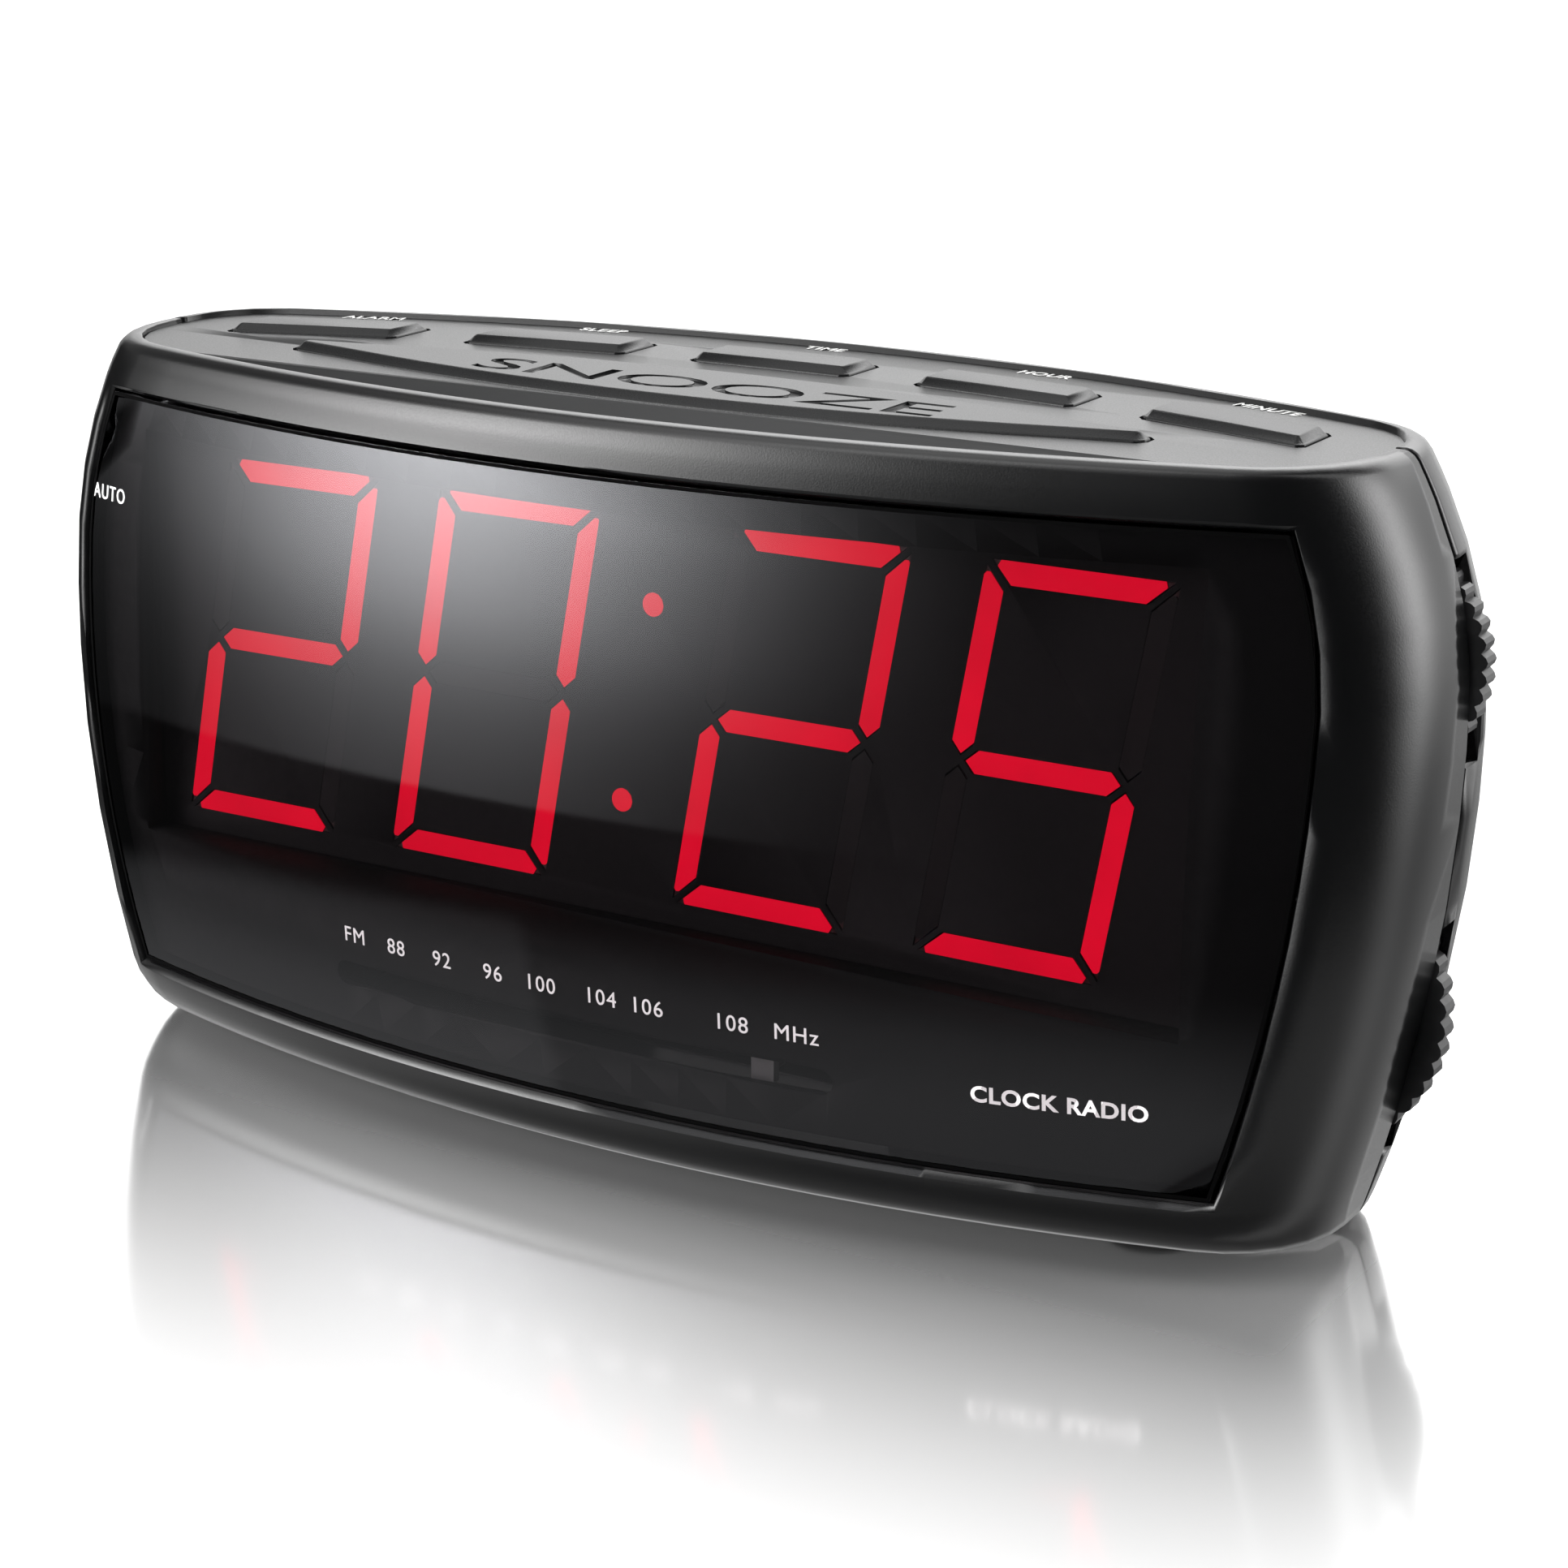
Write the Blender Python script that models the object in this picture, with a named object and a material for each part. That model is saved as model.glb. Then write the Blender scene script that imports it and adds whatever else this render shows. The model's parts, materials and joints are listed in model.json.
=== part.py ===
"""Clock radio with a large red LED display, a thumbwheel tuner and a row of top buttons.

Sizes below are in millimetres. The working frame has X to the right seen from the front, Y to the back
with zero near the lens's foremost line, and Z up with zero a little above the casing's underside. An empty
moves that frame so that the world origin is at the middle of the footprint, on the surface that the feet
stand on.
"""

import math

import bmesh
import bpy
from mathutils import Matrix, Vector

MM = 0.001
GAP = 0.3

# Casing
HEIGHT = 85.67
UNDERSIDE = -2.5
HALF_WIDTH = 93.12
WIDEST_Z = 59.4
FLARE_BELOW = 0.0026
FLARE_ABOVE = 0.0111
FRONT_RADIUS = 270.4
FRONT_CORNER = 17.8
LEAN = 0.0555
LENS_INSET = 1.1
FOREMOST = -1.42
SHOULDER_Z = 80.6
SHOULDER_DEPTH = 0.8
CHIN_Z = 5.5
CHIN_DEPTH = 9.4
BACK_Y = 66.5
BACK_Z = 45.0
BACK_BOW = 4.9
BACK_RADIUS = 228.0
BACK_CORNER = 14.0
EDGE_ROUND = 1.1
BASE_ROUND = 1.6
WALL = 2.0
SEAM_Y = 34.0
SEAM_GAP = 0.4
FOOT_HEIGHT = 1.2

# Lens
LENS_LOW = 6.6
LENS_HIGH = 79.4
LENS_HALF = 83.71
LENS_WIDEST_Z = 59.6
LENS_FLARE_BELOW = 0.003
LENS_FLARE_ABOVE = 0.011
LENS_THICK = 1.8
LENS_MIDDLE_Z = 43.0
LENS_BULGE = 2.56
LENS_SET = -1.94
FRAME_FLARE = 0.8

# Top panel, buttons and snooze bar
PANEL_TOP = HEIGHT - 0.55
PANEL_THICK = 1.8
RIM = 2.4
CAP_TOP = HEIGHT + 0.45
BUTTON_PITCH = 31.43
BUTTON_ARC_Y = 44.6
BUTTON_ARC_RADIUS = 238.6
BUTTON_WIDTH = 19.8
BUTTON_DEPTH = 5.8
STEM_PITCH = 30.0
SNOOZE_HALF = 57.0
SNOOZE_Y = 27.2
SNOOZE_BOW = 7.6
SNOOZE_STEM_Y = 32.2
BUTTON_BEVEL = 1.1
SNOOZE_BEVEL = 1.2
KEY_LEDGE = 0.35
FLANGE_LOW = 81.2
STEM_LOW = 80.2
KEY_BOARD_Z = 73.4
BOARD_THICK = 1.6

# Display
DIGIT_LEFT = -70.47
DIGIT_LOW = 26.58
DIGIT_WIDTH = 23.17
DIGIT_HEIGHT = 45.72
DIGIT_PITCH = 32.39
COLON_PITCH = 41.38
DIGIT_SLANT = 0.1683
BAR_WIDTH = 2.75
BAR_GAP = 0.5
DISPLAY_Y = 14.94
DISPLAY_DEPTH = 8.0
DISPLAY_BOX = (-75.0, 71.5, 23.5, 75.5)
HOOD_THICK = 1.2
DIAL_SLOT = (-38.4, 32.4, 12.2, 15.4)

# Tuning drive and volume control
WHEEL_FRONT = 34.9
WHEEL_THICK = 2.6
TUNING_AXIS = (73.7, 22.6)
TUNING_RADIUS = 18.4
VOLUME_AXIS = (80.8, 62.6)
VOLUME_RADIUS = 13.8
CORD_Y = 32.7
CORD_RADIUS = 0.35
DRUM_CORD_RADIUS = 11.0
PULLEY_CORD_RADIUS = 8.3
PULLEY_X = -50.0
POINTER_X = 22.2
SIDE_REACH = VOLUME_AXIS[0] + VOLUME_RADIUS

# Function switch, speaker, supply and battery
KNOB_Y = 38.4
KNOB_Z = 52.0
KNOB_TRAVEL = 6.0
SPEAKER_X = -52.0
SPEAKER_Z = 42.0
SPEAKER_RADIUS = 22.5
SPEAKER_BACK = 51.4
TRAY = (-28.4, 28.4, 34.6, 54.8, 32.0)
TRANSFORMER = (0.0, 47.0, 49.0)
SCREW_X = 40.0
SCREW_Z = 6.4
GLAND = (-60.0, 10.0)

BASE = Vector((0.0, -(BACK_Y + FOREMOST) / 2, FOOT_HEIGHT - UNDERSIDE)) * MM


# ---------------------------------------------------------------- scene and materials

def clear_scene():
    for thing in list(bpy.data.objects):
        bpy.data.objects.remove(thing, do_unlink=True)


def new_collection(name):
    collection = bpy.data.collections.new(name)
    bpy.context.scene.collection.children.link(collection)
    return collection


clear_scene()
PARTS = new_collection("clock_radio")
CUTTERS = new_collection("cutters")
ROOT = bpy.data.objects.new("clock_radio_frame", None)
PARTS.objects.link(ROOT)
ROOT.location = BASE

FINISHES = {
    "casing": ((0.018, 0.018, 0.020), 0.42, 0.0),
    "panel": ((0.045, 0.046, 0.048), 0.38, 0.0),
    "lens": ((0.010, 0.008, 0.009), 0.04, 0.0),
    "board": ((0.05, 0.16, 0.07), 0.5, 0.0),
    "white": ((0.75, 0.75, 0.72), 0.5, 0.0),
    "red": ((0.6, 0.01, 0.03), 0.3, 0.0),
    "steel": ((0.55, 0.55, 0.56), 0.3, 1.0),
    "copper": ((0.62, 0.28, 0.12), 0.4, 1.0),
    "rubber": ((0.02, 0.02, 0.02), 0.85, 0.0),
    "paper": ((0.035, 0.035, 0.04), 0.9, 0.0),
}


def material(finish):
    if finish in bpy.data.materials:
        return bpy.data.materials[finish]
    colour, roughness, metallic = FINISHES[finish]
    made = bpy.data.materials.new(finish)
    made.use_nodes = True
    shader = made.node_tree.nodes["Principled BSDF"]
    shader.inputs["Base Color"].default_value = (*colour, 1.0)
    shader.inputs["Roughness"].default_value = roughness
    shader.inputs["Metallic"].default_value = metallic
    return made


def add_object(name, bm, collection, origin):
    """Turn a bmesh in millimetres into an object whose own origin is at the given point."""
    bmesh.ops.recalc_face_normals(bm, faces=bm.faces)
    if bm.calc_volume(signed=True) < 0:
        bmesh.ops.reverse_faces(bm, faces=bm.faces)
    bmesh.ops.translate(bm, verts=bm.verts, vec=-Vector(origin))
    bmesh.ops.scale(bm, verts=bm.verts, vec=(MM, MM, MM))
    mesh = bpy.data.meshes.new(name)
    bm.to_mesh(mesh)
    bm.free()
    made = bpy.data.objects.new(name, mesh)
    collection.objects.link(made)
    made.parent = ROOT
    made.location = Vector(origin) * MM
    return made


def add_part(name, bm, finish, origin=(0, 0, 0), smooth=None):
    made = add_object(name, bm, PARTS, origin)
    made.data.materials.append(material(finish))
    if smooth:
        made.data.shade_smooth()
        made.data.set_sharp_from_angle(angle=math.radians(smooth))
    return made


def boolean(target, bm, operation="DIFFERENCE"):
    """Cut the target by a solid, or join the solid to it."""
    cutter = add_object(f"{target.name}_tool_{len(target.modifiers)}", bm, CUTTERS, (0, 0, 0))
    cutter.hide_render = True
    cutter.display_type = "WIRE"
    modifier = target.modifiers.new("tool", "BOOLEAN")
    modifier.object = cutter
    modifier.operation = operation
    modifier.solver = "EXACT"


# ---------------------------------------------------------------- basic solids

def box(x0, x1, y0, y1, z0, z1, lean=0.0):
    bm = bmesh.new()
    bmesh.ops.create_cube(bm, size=1.0)
    bmesh.ops.scale(bm, verts=bm.verts, vec=(x1 - x0, y1 - y0, z1 - z0))
    bmesh.ops.translate(bm, verts=bm.verts, vec=((x0 + x1) / 2, (y0 + y1) / 2, (z0 + z1) / 2))
    return leaned(bm, lean)


def leaned(bm, lean):
    """Shear a solid so that it leans back with the lens."""
    for vert in bm.verts:
        vert.co.y += lean * (vert.co.z - LENS_LOW)
    return bm


def cylinder(centre, radius, low, high, axis="Y", sides=24, top_radius=None):
    """A cylinder or cone on the given axis; centre holds the other two coordinates in X, Y, Z order."""
    bm = bmesh.new()
    end = radius if top_radius is None else top_radius
    bmesh.ops.create_cone(bm, cap_ends=True, segments=sides, radius1=radius, radius2=end, depth=high - low)
    turn = {"X": Matrix.Rotation(math.radians(90), 4, "Y"),
            "Y": Matrix.Rotation(math.radians(-90), 4, "X"),
            "Z": Matrix.Identity(4)}[axis]
    bmesh.ops.transform(bm, matrix=turn, verts=bm.verts)
    middle = (low + high) / 2
    place = {"X": (middle, *centre), "Y": (centre[0], middle, centre[1]), "Z": (*centre, middle)}[axis]
    bmesh.ops.translate(bm, verts=bm.verts, vec=place)
    return bm


def flat_solid(points, low, high, axis="Z", lean=0.0):
    """A flat outline, filled and given thickness between low and high along the axis."""
    curve = bpy.data.curves.new("outline", "CURVE")
    curve.dimensions = "2D"
    curve.fill_mode = "BOTH"
    curve.extrude = (high - low) / 2
    spline = curve.splines.new("POLY")
    spline.points.add(len(points) - 1)
    for target, point in zip(spline.points, points):
        target.co = (point[0], point[1], 0.0, 1.0)
    spline.use_cyclic_u = True
    guide = bpy.data.objects.new("outline", curve)
    CUTTERS.objects.link(guide)
    graph = bpy.context.evaluated_depsgraph_get()
    mesh = bpy.data.meshes.new_from_object(guide.evaluated_get(graph))
    bm = bmesh.new()
    bm.from_mesh(mesh)
    bmesh.ops.remove_doubles(bm, verts=bm.verts, dist=0.001)
    bpy.data.objects.remove(guide, do_unlink=True)
    bpy.data.curves.remove(curve)
    bpy.data.meshes.remove(mesh)
    middle = (low + high) / 2
    for vert in bm.verts:
        u, v, w = vert.co
        vert.co = (u, v, w + middle) if axis == "Z" else (u, w + middle, v)
    return leaned(bm, lean)


def loft(rings):
    """Join equal rings of points into one closed solid with flat ends."""
    bm = bmesh.new()
    levels = [[bm.verts.new(point) for point in ring] for ring in rings]
    count = len(levels[0])
    for lower, upper in zip(levels, levels[1:]):
        for i in range(count):
            j = (i + 1) % count
            bm.faces.new((lower[i], lower[j], upper[j], upper[i]))
    bm.faces.new(levels[0])
    bm.faces.new(levels[-1])
    return bm


def turned(profile, centre, steps=32):
    """A ring turned about a Y axis from a closed profile of (radius, y) points."""
    rings = []
    for radius, y in profile:
        ring = []
        for k in range(steps):
            angle = 2 * math.pi * k / steps
            ring.append((centre[0] + radius * math.cos(angle), y, centre[1] + radius * math.sin(angle)))
        rings.append(ring)
    bm = bmesh.new()
    levels = [[bm.verts.new(point) for point in ring] for ring in rings]
    for lower, upper in zip(levels, levels[1:] + levels[:1]):
        for i in range(steps):
            j = (i + 1) % steps
            bm.faces.new((lower[i], lower[j], upper[j], upper[i]))
    return bm


def bow(x, radius):
    return radius - math.sqrt(radius * radius - x * x)


def grown(points, amount):
    """Push each corner of a counter-clockwise outline out by an even amount."""
    made = []
    count = len(points)
    for i in range(count):
        before, here, after = (Vector(points[k % count]) for k in (i - 1, i, i + 1))
        first, second = (here - before).normalized(), (after - here).normalized()
        out = Vector((first.y, -first.x)) + Vector((second.y, -second.x))
        made.append(here + out * (2 * amount / max(out.length_squared, 1.2)))
    return made


# ---------------------------------------------------------------- casing

def barrel(z, half, widest, below, above):
    return half - (below if z < widest else above) * (z - widest) ** 2


def casing_half(z):
    return barrel(z, HALF_WIDTH, WIDEST_Z, FLARE_BELOW, FLARE_ABOVE)


def face_y(z):
    """The lens's upright middle line: it leans back and bulges forward in the middle."""
    half_height = (LENS_HIGH - LENS_LOW) / 2
    return LEAN * (z - LENS_LOW) + LENS_SET + LENS_BULGE * ((z - LENS_MIDDLE_Z) / half_height) ** 2


def recess(z):
    """How far the casing's front falls back from the lens's line at the shoulder and under the chin."""
    if z > SHOULDER_Z:
        part, depth = (z - SHOULDER_Z) / (HEIGHT - SHOULDER_Z), SHOULDER_DEPTH
    elif z < CHIN_Z:
        part, depth = (CHIN_Z - z) / (CHIN_Z - UNDERSIDE), CHIN_DEPTH
    else:
        return 0.0
    return depth * (1 - math.sqrt(max(0.0, 1 - part * part)))


def front_y(z):
    return face_y(z) - LENS_INSET + recess(z)


def back_y(z):
    return BACK_Y - BACK_BOW * ((z - BACK_Z) / (HEIGHT - BACK_Z)) ** 2


def plan_outline(z, inset, dense=1):
    """The casing's horizontal section at a height, moved inwards by inset."""
    half = casing_half(z) - inset
    front, back = front_y(z) + inset, back_y(z) - inset
    r1, r2 = FRONT_CORNER - 0.5 * recess(z) - inset, BACK_CORNER - inset
    big1, big2 = FRONT_RADIUS - inset, BACK_RADIUS - inset
    cx1, cx2 = half - r1, half - r2
    turn1, turn2 = math.asin(cx1 / (big1 - r1)), math.asin(cx2 / (big2 - r2))
    cy1 = front + big1 - (big1 - r1) * math.cos(turn1)
    cy2 = back - big2 + (big2 - r2) * math.cos(turn2)
    right = []
    for k in range(10 * dense):
        a = turn1 * k / (10 * dense)
        right.append((big1 * math.sin(a), front + big1 * (1 - math.cos(a))))
    for k in range(7):
        a = turn1 + (math.pi / 2 - turn1) * k / 6
        right.append((cx1 + r1 * math.sin(a), cy1 - r1 * math.cos(a)))
    for k in range(7):
        a = math.pi / 2 - (math.pi / 2 - turn2) * k / 6
        right.append((cx2 + r2 * math.sin(a), cy2 + r2 * math.cos(a)))
    for k in range(1, 8 * dense + 1):
        a = turn2 * (1 - k / (8 * dense))
        right.append((big2 * math.sin(a), back - big2 * (1 - math.cos(a))))
    left = [(-x, y) for x, y in reversed(right[1:-1])]
    return right + left


def section(z, inset, height=None):
    level = z if height is None else height
    return [(x, y, level) for x, y in plan_outline(min(z, HEIGHT), inset)]


def outer_casing():
    rings = []
    for k in range(6):
        z = CHIN_Z - (CHIN_Z - UNDERSIDE) * math.sin(math.radians(90 - 15 * k))
        part = max(0.0, (UNDERSIDE + BASE_ROUND - z) / BASE_ROUND)
        rings.append(section(z, BASE_ROUND * (1 - math.sqrt(1 - part * part))))
    rings += [section(z, 0.0) for z in (CHIN_Z, 14.0, 25.0, 36.0, 46.0, 54.0)]
    rings += [section(z, 0.0) for z in (62.0, 69.0, 75.0, SHOULDER_Z, 82.6)]
    for k in range(4):
        angle = math.radians(30 * k)
        height = HEIGHT - EDGE_ROUND * (1 - math.sin(angle))
        rings.append(section(height, EDGE_ROUND * (1 - math.cos(angle))))
    return loft(rings)


def casing_hollow():
    """The room inside both casings: walls, the ledge under the top panel, and the panel's own opening."""
    ledge = PANEL_TOP - PANEL_THICK - GAP
    floor = UNDERSIDE + WALL
    levels = [(floor, WALL + 0.6)] + [(floor + z, WALL) for z in (0.8, 2.4, 4.2)]
    levels += [(z, WALL) for z in (CHIN_Z, 18.0, 32.0, 46.0, 60.0, 72.0, 78.0, SHOULDER_Z)]
    rings = [section(z, inset) for z, inset in levels]
    rings += [section(81.2, 4.0), section(ledge, 4.0), section(HEIGHT, RIM - GAP, ledge)]
    rings.append(section(HEIGHT, RIM - GAP, HEIGHT + 3.0))
    return loft(rings)


def lens_half(z):
    return barrel(z, LENS_HALF, LENS_WIDEST_Z, LENS_FLARE_BELOW, LENS_FLARE_ABOVE)


def lens_y(x, z):
    return bow(x, FRONT_RADIUS) + face_y(z)


def lens_outline(grow):
    """Points (x, z) round the lens, counter-clockwise from the lower left, moved outwards by grow."""
    low, high = LENS_LOW, LENS_HIGH
    points = []
    for k in range(24):
        points.append(((2 * k / 24 - 1) * (lens_half(low) + grow), low - grow))
    for k in range(12):
        z = low + (high - low) * k / 12
        points.append((lens_half(z) + grow, z - grow * (1 - 2 * k / 12)))
    for k in range(24):
        points.append(((1 - 2 * k / 24) * (lens_half(high) + grow), high + grow))
    for k in range(12):
        z = high - (high - low) * k / 12
        points.append((-lens_half(z) - grow, z + grow * (1 - 2 * k / 12)))
    return points


def lens_opening():
    """The window for the lens, with the bevelled frame that widens towards the front."""
    tight, wide = lens_outline(GAP), lens_outline(FRAME_FLARE + GAP)
    return loft([
        [(x, 24.0, z) for x, z in tight],
        [(x, lens_y(x, z) + 0.3, z) for x, z in tight],
        [(x, lens_y(x, z) - LENS_INSET - 0.1, z) for x, z in wide],
        [(x, -20.0, z) for x, z in wide],
    ])


def make_front_casing():
    casing = add_part("front_casing", outer_casing(), "casing", smooth=35)
    boolean(casing, casing_hollow())
    boolean(casing, box(-120, 120, SEAM_Y, 120, -10, 120))
    boolean(casing, lens_opening())
    for side in (-1, 1):
        x = side * SCREW_X
        rib = box(x - 0.9, x + 0.9, 13.0, SEAM_Y - 1.0, UNDERSIDE + WALL - 0.4, SCREW_Z - 1.5)
        boolean(casing, rib, "UNION")
        boolean(casing, cylinder((x, SCREW_Z), 2.8, 8.0, 50.0, sides=16), "UNION")
        boolean(casing, cylinder((x, SCREW_Z), 1.65, 38.0, 54.0, sides=12))


def grille_slots():
    """Upright slots over the speaker, shorter towards the circle's sides."""
    reach = SPEAKER_RADIUS - 2.0
    for k in range(-4, 5):
        x = 4.2 * k
        half = math.sqrt(reach * reach - x * x) * 0.98
        yield box(SPEAKER_X + x - 1.1, SPEAKER_X + x + 1.1, 44.0, 80.0, SPEAKER_Z - half, SPEAKER_Z + half)


def make_rear_casing():
    casing = add_part("rear_casing", outer_casing(), "casing", smooth=35)
    boolean(casing, casing_hollow())
    boolean(casing, box(-120, 120, -60, SEAM_Y + SEAM_GAP, -10, 120))
    back = WHEEL_FRONT + WHEEL_THICK + 0.5
    boolean(casing, box(84.0, 100.0, SEAM_Y - 4, back, 51.9, 74.5))
    boolean(casing, box(75.0, 100.0, SEAM_Y - 4, back, 5.6, 33.6))
    reach = KNOB_TRAVEL + 2.5
    boolean(casing, box(-100.0, -85.0, KNOB_Y - 1.7, KNOB_Y + 1.7, KNOB_Z - reach, KNOB_Z + reach))
    hatch = box(TRAY[0] + 2.0, TRAY[1] - 2.0, TRAY[2] + 1.2, 90.0, UNDERSIDE - 4.0, UNDERSIDE + WALL + 0.3)
    boolean(casing, hatch)
    boolean(casing, cylinder(GLAND, 3.9, 44.0, 80.0))
    for side in (-1, 1):
        axis = (side * SCREW_X, SCREW_Z)
        boolean(casing, cylinder(axis, 4.8, 50.6, 56.9, sides=20), "UNION")
        boolean(casing, cylinder(axis, 1.7, 44.0, 80.0, sides=12))
        boolean(casing, cylinder(axis, 3.3, 53.9, 80.0, sides=16))
    for slot in grille_slots():
        boolean(casing, slot)


def lens_shaped_plate(inset, front, back, columns, rows):
    """A plate bent like the lens, smaller by inset all round, between two depths behind the lens's face."""
    low, high = LENS_LOW + inset, LENS_HIGH - inset
    bm = bmesh.new()
    grids = []
    for depth in (front, back):
        grid = []
        for j in range(rows + 1):
            z = low + (high - low) * j / rows
            xs = [(2 * i / columns - 1) * (lens_half(z) - inset) for i in range(columns + 1)]
            grid.append([bm.verts.new((x, lens_y(x, z) + depth, z)) for x in xs])
        grids.append(grid)
        for j in range(rows):
            for i in range(columns):
                bm.faces.new((grid[j][i], grid[j][i + 1], grid[j + 1][i + 1], grid[j + 1][i]))
    rims = []
    for grid in grids:
        rim = grid[0][:-1] + [row[-1] for row in grid[:-1]]
        rim += grid[-1][:0:-1] + [row[0] for row in grid[:0:-1]]
        rims.append(rim)
    for i in range(len(rims[0])):
        j = (i + 1) % len(rims[0])
        bm.faces.new((rims[0][i], rims[0][j], rims[1][j], rims[1][i]))
    return bm


def make_lens():
    add_part("display_lens", lens_shaped_plate(0.0, 0.0, LENS_THICK, 24, 12), "lens", smooth=35)


# ---------------------------------------------------------------- top panel and its keys

def button_outline(place):
    """The cap's upper face: front and back follow the row's arc, the ends run straight back."""
    points = []
    for x in (-BUTTON_WIDTH / 2, 0.0, BUTTON_WIDTH / 2):
        across = place * BUTTON_PITCH + x
        points.append((across, BUTTON_ARC_Y - bow(across, BUTTON_ARC_RADIUS)))
    return points + [(x, y + BUTTON_DEPTH) for x, y in reversed(points)]


def cornered(points, amount):
    """Cut off an outline's four end corners, leaving its other points alone."""
    made = []
    count = len(points)
    for i in range(count):
        here = Vector(points[i])
        before, after = Vector(points[i - 1]), Vector(points[(i + 1) % count])
        first, second = (here - before).normalized(), (after - here).normalized()
        if first.dot(second) > 0.7:
            made.append(here)
        else:
            made += [here - first * amount, here + second * amount]
    return made


def snooze_outline():
    radius = (SNOOZE_HALF ** 2 + SNOOZE_BOW ** 2) / (2 * SNOOZE_BOW)
    steps = 16
    front, back = [], []
    for k in range(steps + 1):
        x = SNOOZE_HALF * (2 * k / steps - 1)
        depth = max(0.5, SNOOZE_BOW - bow(x, radius))
        front.append((x, SNOOZE_Y - depth))
        back.append((x, SNOOZE_Y + depth))
    return front + back[::-1]


def key_body(outline, bevel, stem):
    """Flange, straight neck with a narrow ledge, and bevelled cap, standing on a stem."""
    low, high = FLANGE_LOW, PANEL_TOP - PANEL_THICK - GAP
    flange = cornered(grown(outline, bevel + 1.2), 0.9)
    neck = cornered(grown(outline, bevel), 0.9)
    foot = cornered(grown(outline, bevel - KEY_LEDGE), 0.7)
    levels = [(flange, low), (flange, high), (neck, high), (neck, PANEL_TOP + 0.15), (foot, PANEL_TOP + 0.25),
              (cornered(outline, 0.25), CAP_TOP)]
    rings = [[(x, y, z) for x, y in ring] for ring, z in levels]
    return loft(rings), cylinder(stem, 1.8, STEM_LOW, low + 0.4, axis="Z", sides=16)


def stem_place(place):
    x = place * STEM_PITCH
    return x, BUTTON_ARC_Y - bow(x, BUTTON_ARC_RADIUS) + BUTTON_DEPTH / 2


KEY_NAMES = ("alarm", "sleep", "time", "hour", "minute")


def make_keys():
    for place, name in enumerate(KEY_NAMES, start=-2):
        body, stem = key_body(button_outline(place), BUTTON_BEVEL, stem_place(place))
        key = add_part(f"{name}_button", body, "panel", origin=(*stem_place(place), STEM_LOW))
        boolean(key, stem, "UNION")
    body, stem = key_body(snooze_outline(), SNOOZE_BEVEL, (0.0, SNOOZE_STEM_Y))
    bar = add_part("snooze_bar", body, "panel", origin=(0.0, SNOOZE_STEM_Y, STEM_LOW))
    boolean(bar, stem, "UNION")


def make_top_panel():
    low = PANEL_TOP - PANEL_THICK
    panel = add_part("top_panel", flat_solid(plan_outline(HEIGHT, RIM), low, PANEL_TOP), "panel")
    for place in range(-2, 3):
        hole = cornered(grown(button_outline(place), BUTTON_BEVEL + GAP), 0.9)
        boolean(panel, flat_solid(hole, low - 2, PANEL_TOP + 2))
    snooze_gap = cornered(grown(snooze_outline(), SNOOZE_BEVEL + GAP), 0.9)
    boolean(panel, flat_solid(snooze_gap, low - 2, PANEL_TOP + 2))


def make_key_board():
    top = KEY_BOARD_Z + BOARD_THICK
    outline = [(-70.0, 29.4), (63.6, 29.4), (63.6, 46.5), (40.0, 55.0), (-40.0, 55.0), (-70.0, 46.5)]
    add_part("key_board", flat_solid(outline, KEY_BOARD_Z, top), "board")
    places = [(name, stem_place(place)) for place, name in enumerate(KEY_NAMES, start=-2)]
    places.append(("snooze", (0.0, SNOOZE_STEM_Y + 0.6)))
    for name, (x, y) in places:
        body = box(x - 3, x + 3, y - 3, y + 3, top + GAP, top + GAP + 2.6)
        switch = add_part(f"{name}_switch", body, "steel")
        boolean(switch, cylinder((x, y), 1.6, top + 2.4, STEM_LOW - 1.1, axis="Z", sides=16), "UNION")


# ---------------------------------------------------------------- display

def bar_outlines(left):
    """The seven bars of one digit whose lower left corner is at left, as slanted outlines (x, z)."""
    w, h, t = DIGIT_WIDTH, DIGIT_HEIGHT, BAR_WIDTH
    mid, g = DIGIT_HEIGHT / 2, BAR_GAP
    shapes = [
        [(g, 0), (w - g, 0), (w - g - t, t), (g + t, t)],
        [(g, h), (g + t, h - t), (w - g - t, h - t), (w - g, h)],
        [(t / 2 + g, mid), (t + g, mid - t / 2), (w - t - g, mid - t / 2),
         (w - t / 2 - g, mid), (w - t - g, mid + t / 2), (t + g, mid + t / 2)],
    ]
    for low, high in ((0.0, mid), (h, mid)):
        side = 1 if high > low else -1
        shapes.append([(0, low + side * g), (t, low + side * (t + g)), (t, high - side * (t / 2 + g)),
                       (t / 2, high - side * g), (0, high - side * (t / 2 + g))])
        shapes.append([(w - x, z) for x, z in shapes[-1]])
    made = []
    for shape in shapes:
        points = [Vector((left + x + DIGIT_SLANT * z, DIGIT_LOW + z)) for x, z in shape]
        area = sum(a.x * b.y - b.x * a.y for a, b in zip(points, points[1:] + points[:1]))
        made.append(points if area > 0 else points[::-1])
    return made


def digit_lefts():
    first = DIGIT_LEFT
    third = first + DIGIT_PITCH + COLON_PITCH
    return [first, first + DIGIT_PITCH, third, third + DIGIT_PITCH]


def colon_dots(grow):
    radius = 1.5 + grow
    left = digit_lefts()[1] + DIGIT_WIDTH
    gap = COLON_PITCH - DIGIT_WIDTH
    for part in (0.25, 0.75):
        z = DIGIT_LOW + DIGIT_HEIGHT * part + (0.8 if part > 0.5 else -0.2)
        x = left + gap / 2 + DIGIT_SLANT * (z - DIGIT_LOW)
        yield [(x + radius * math.cos(a), z + radius * math.sin(a))
               for a in (math.radians(30 * k) for k in range(12))]


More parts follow.
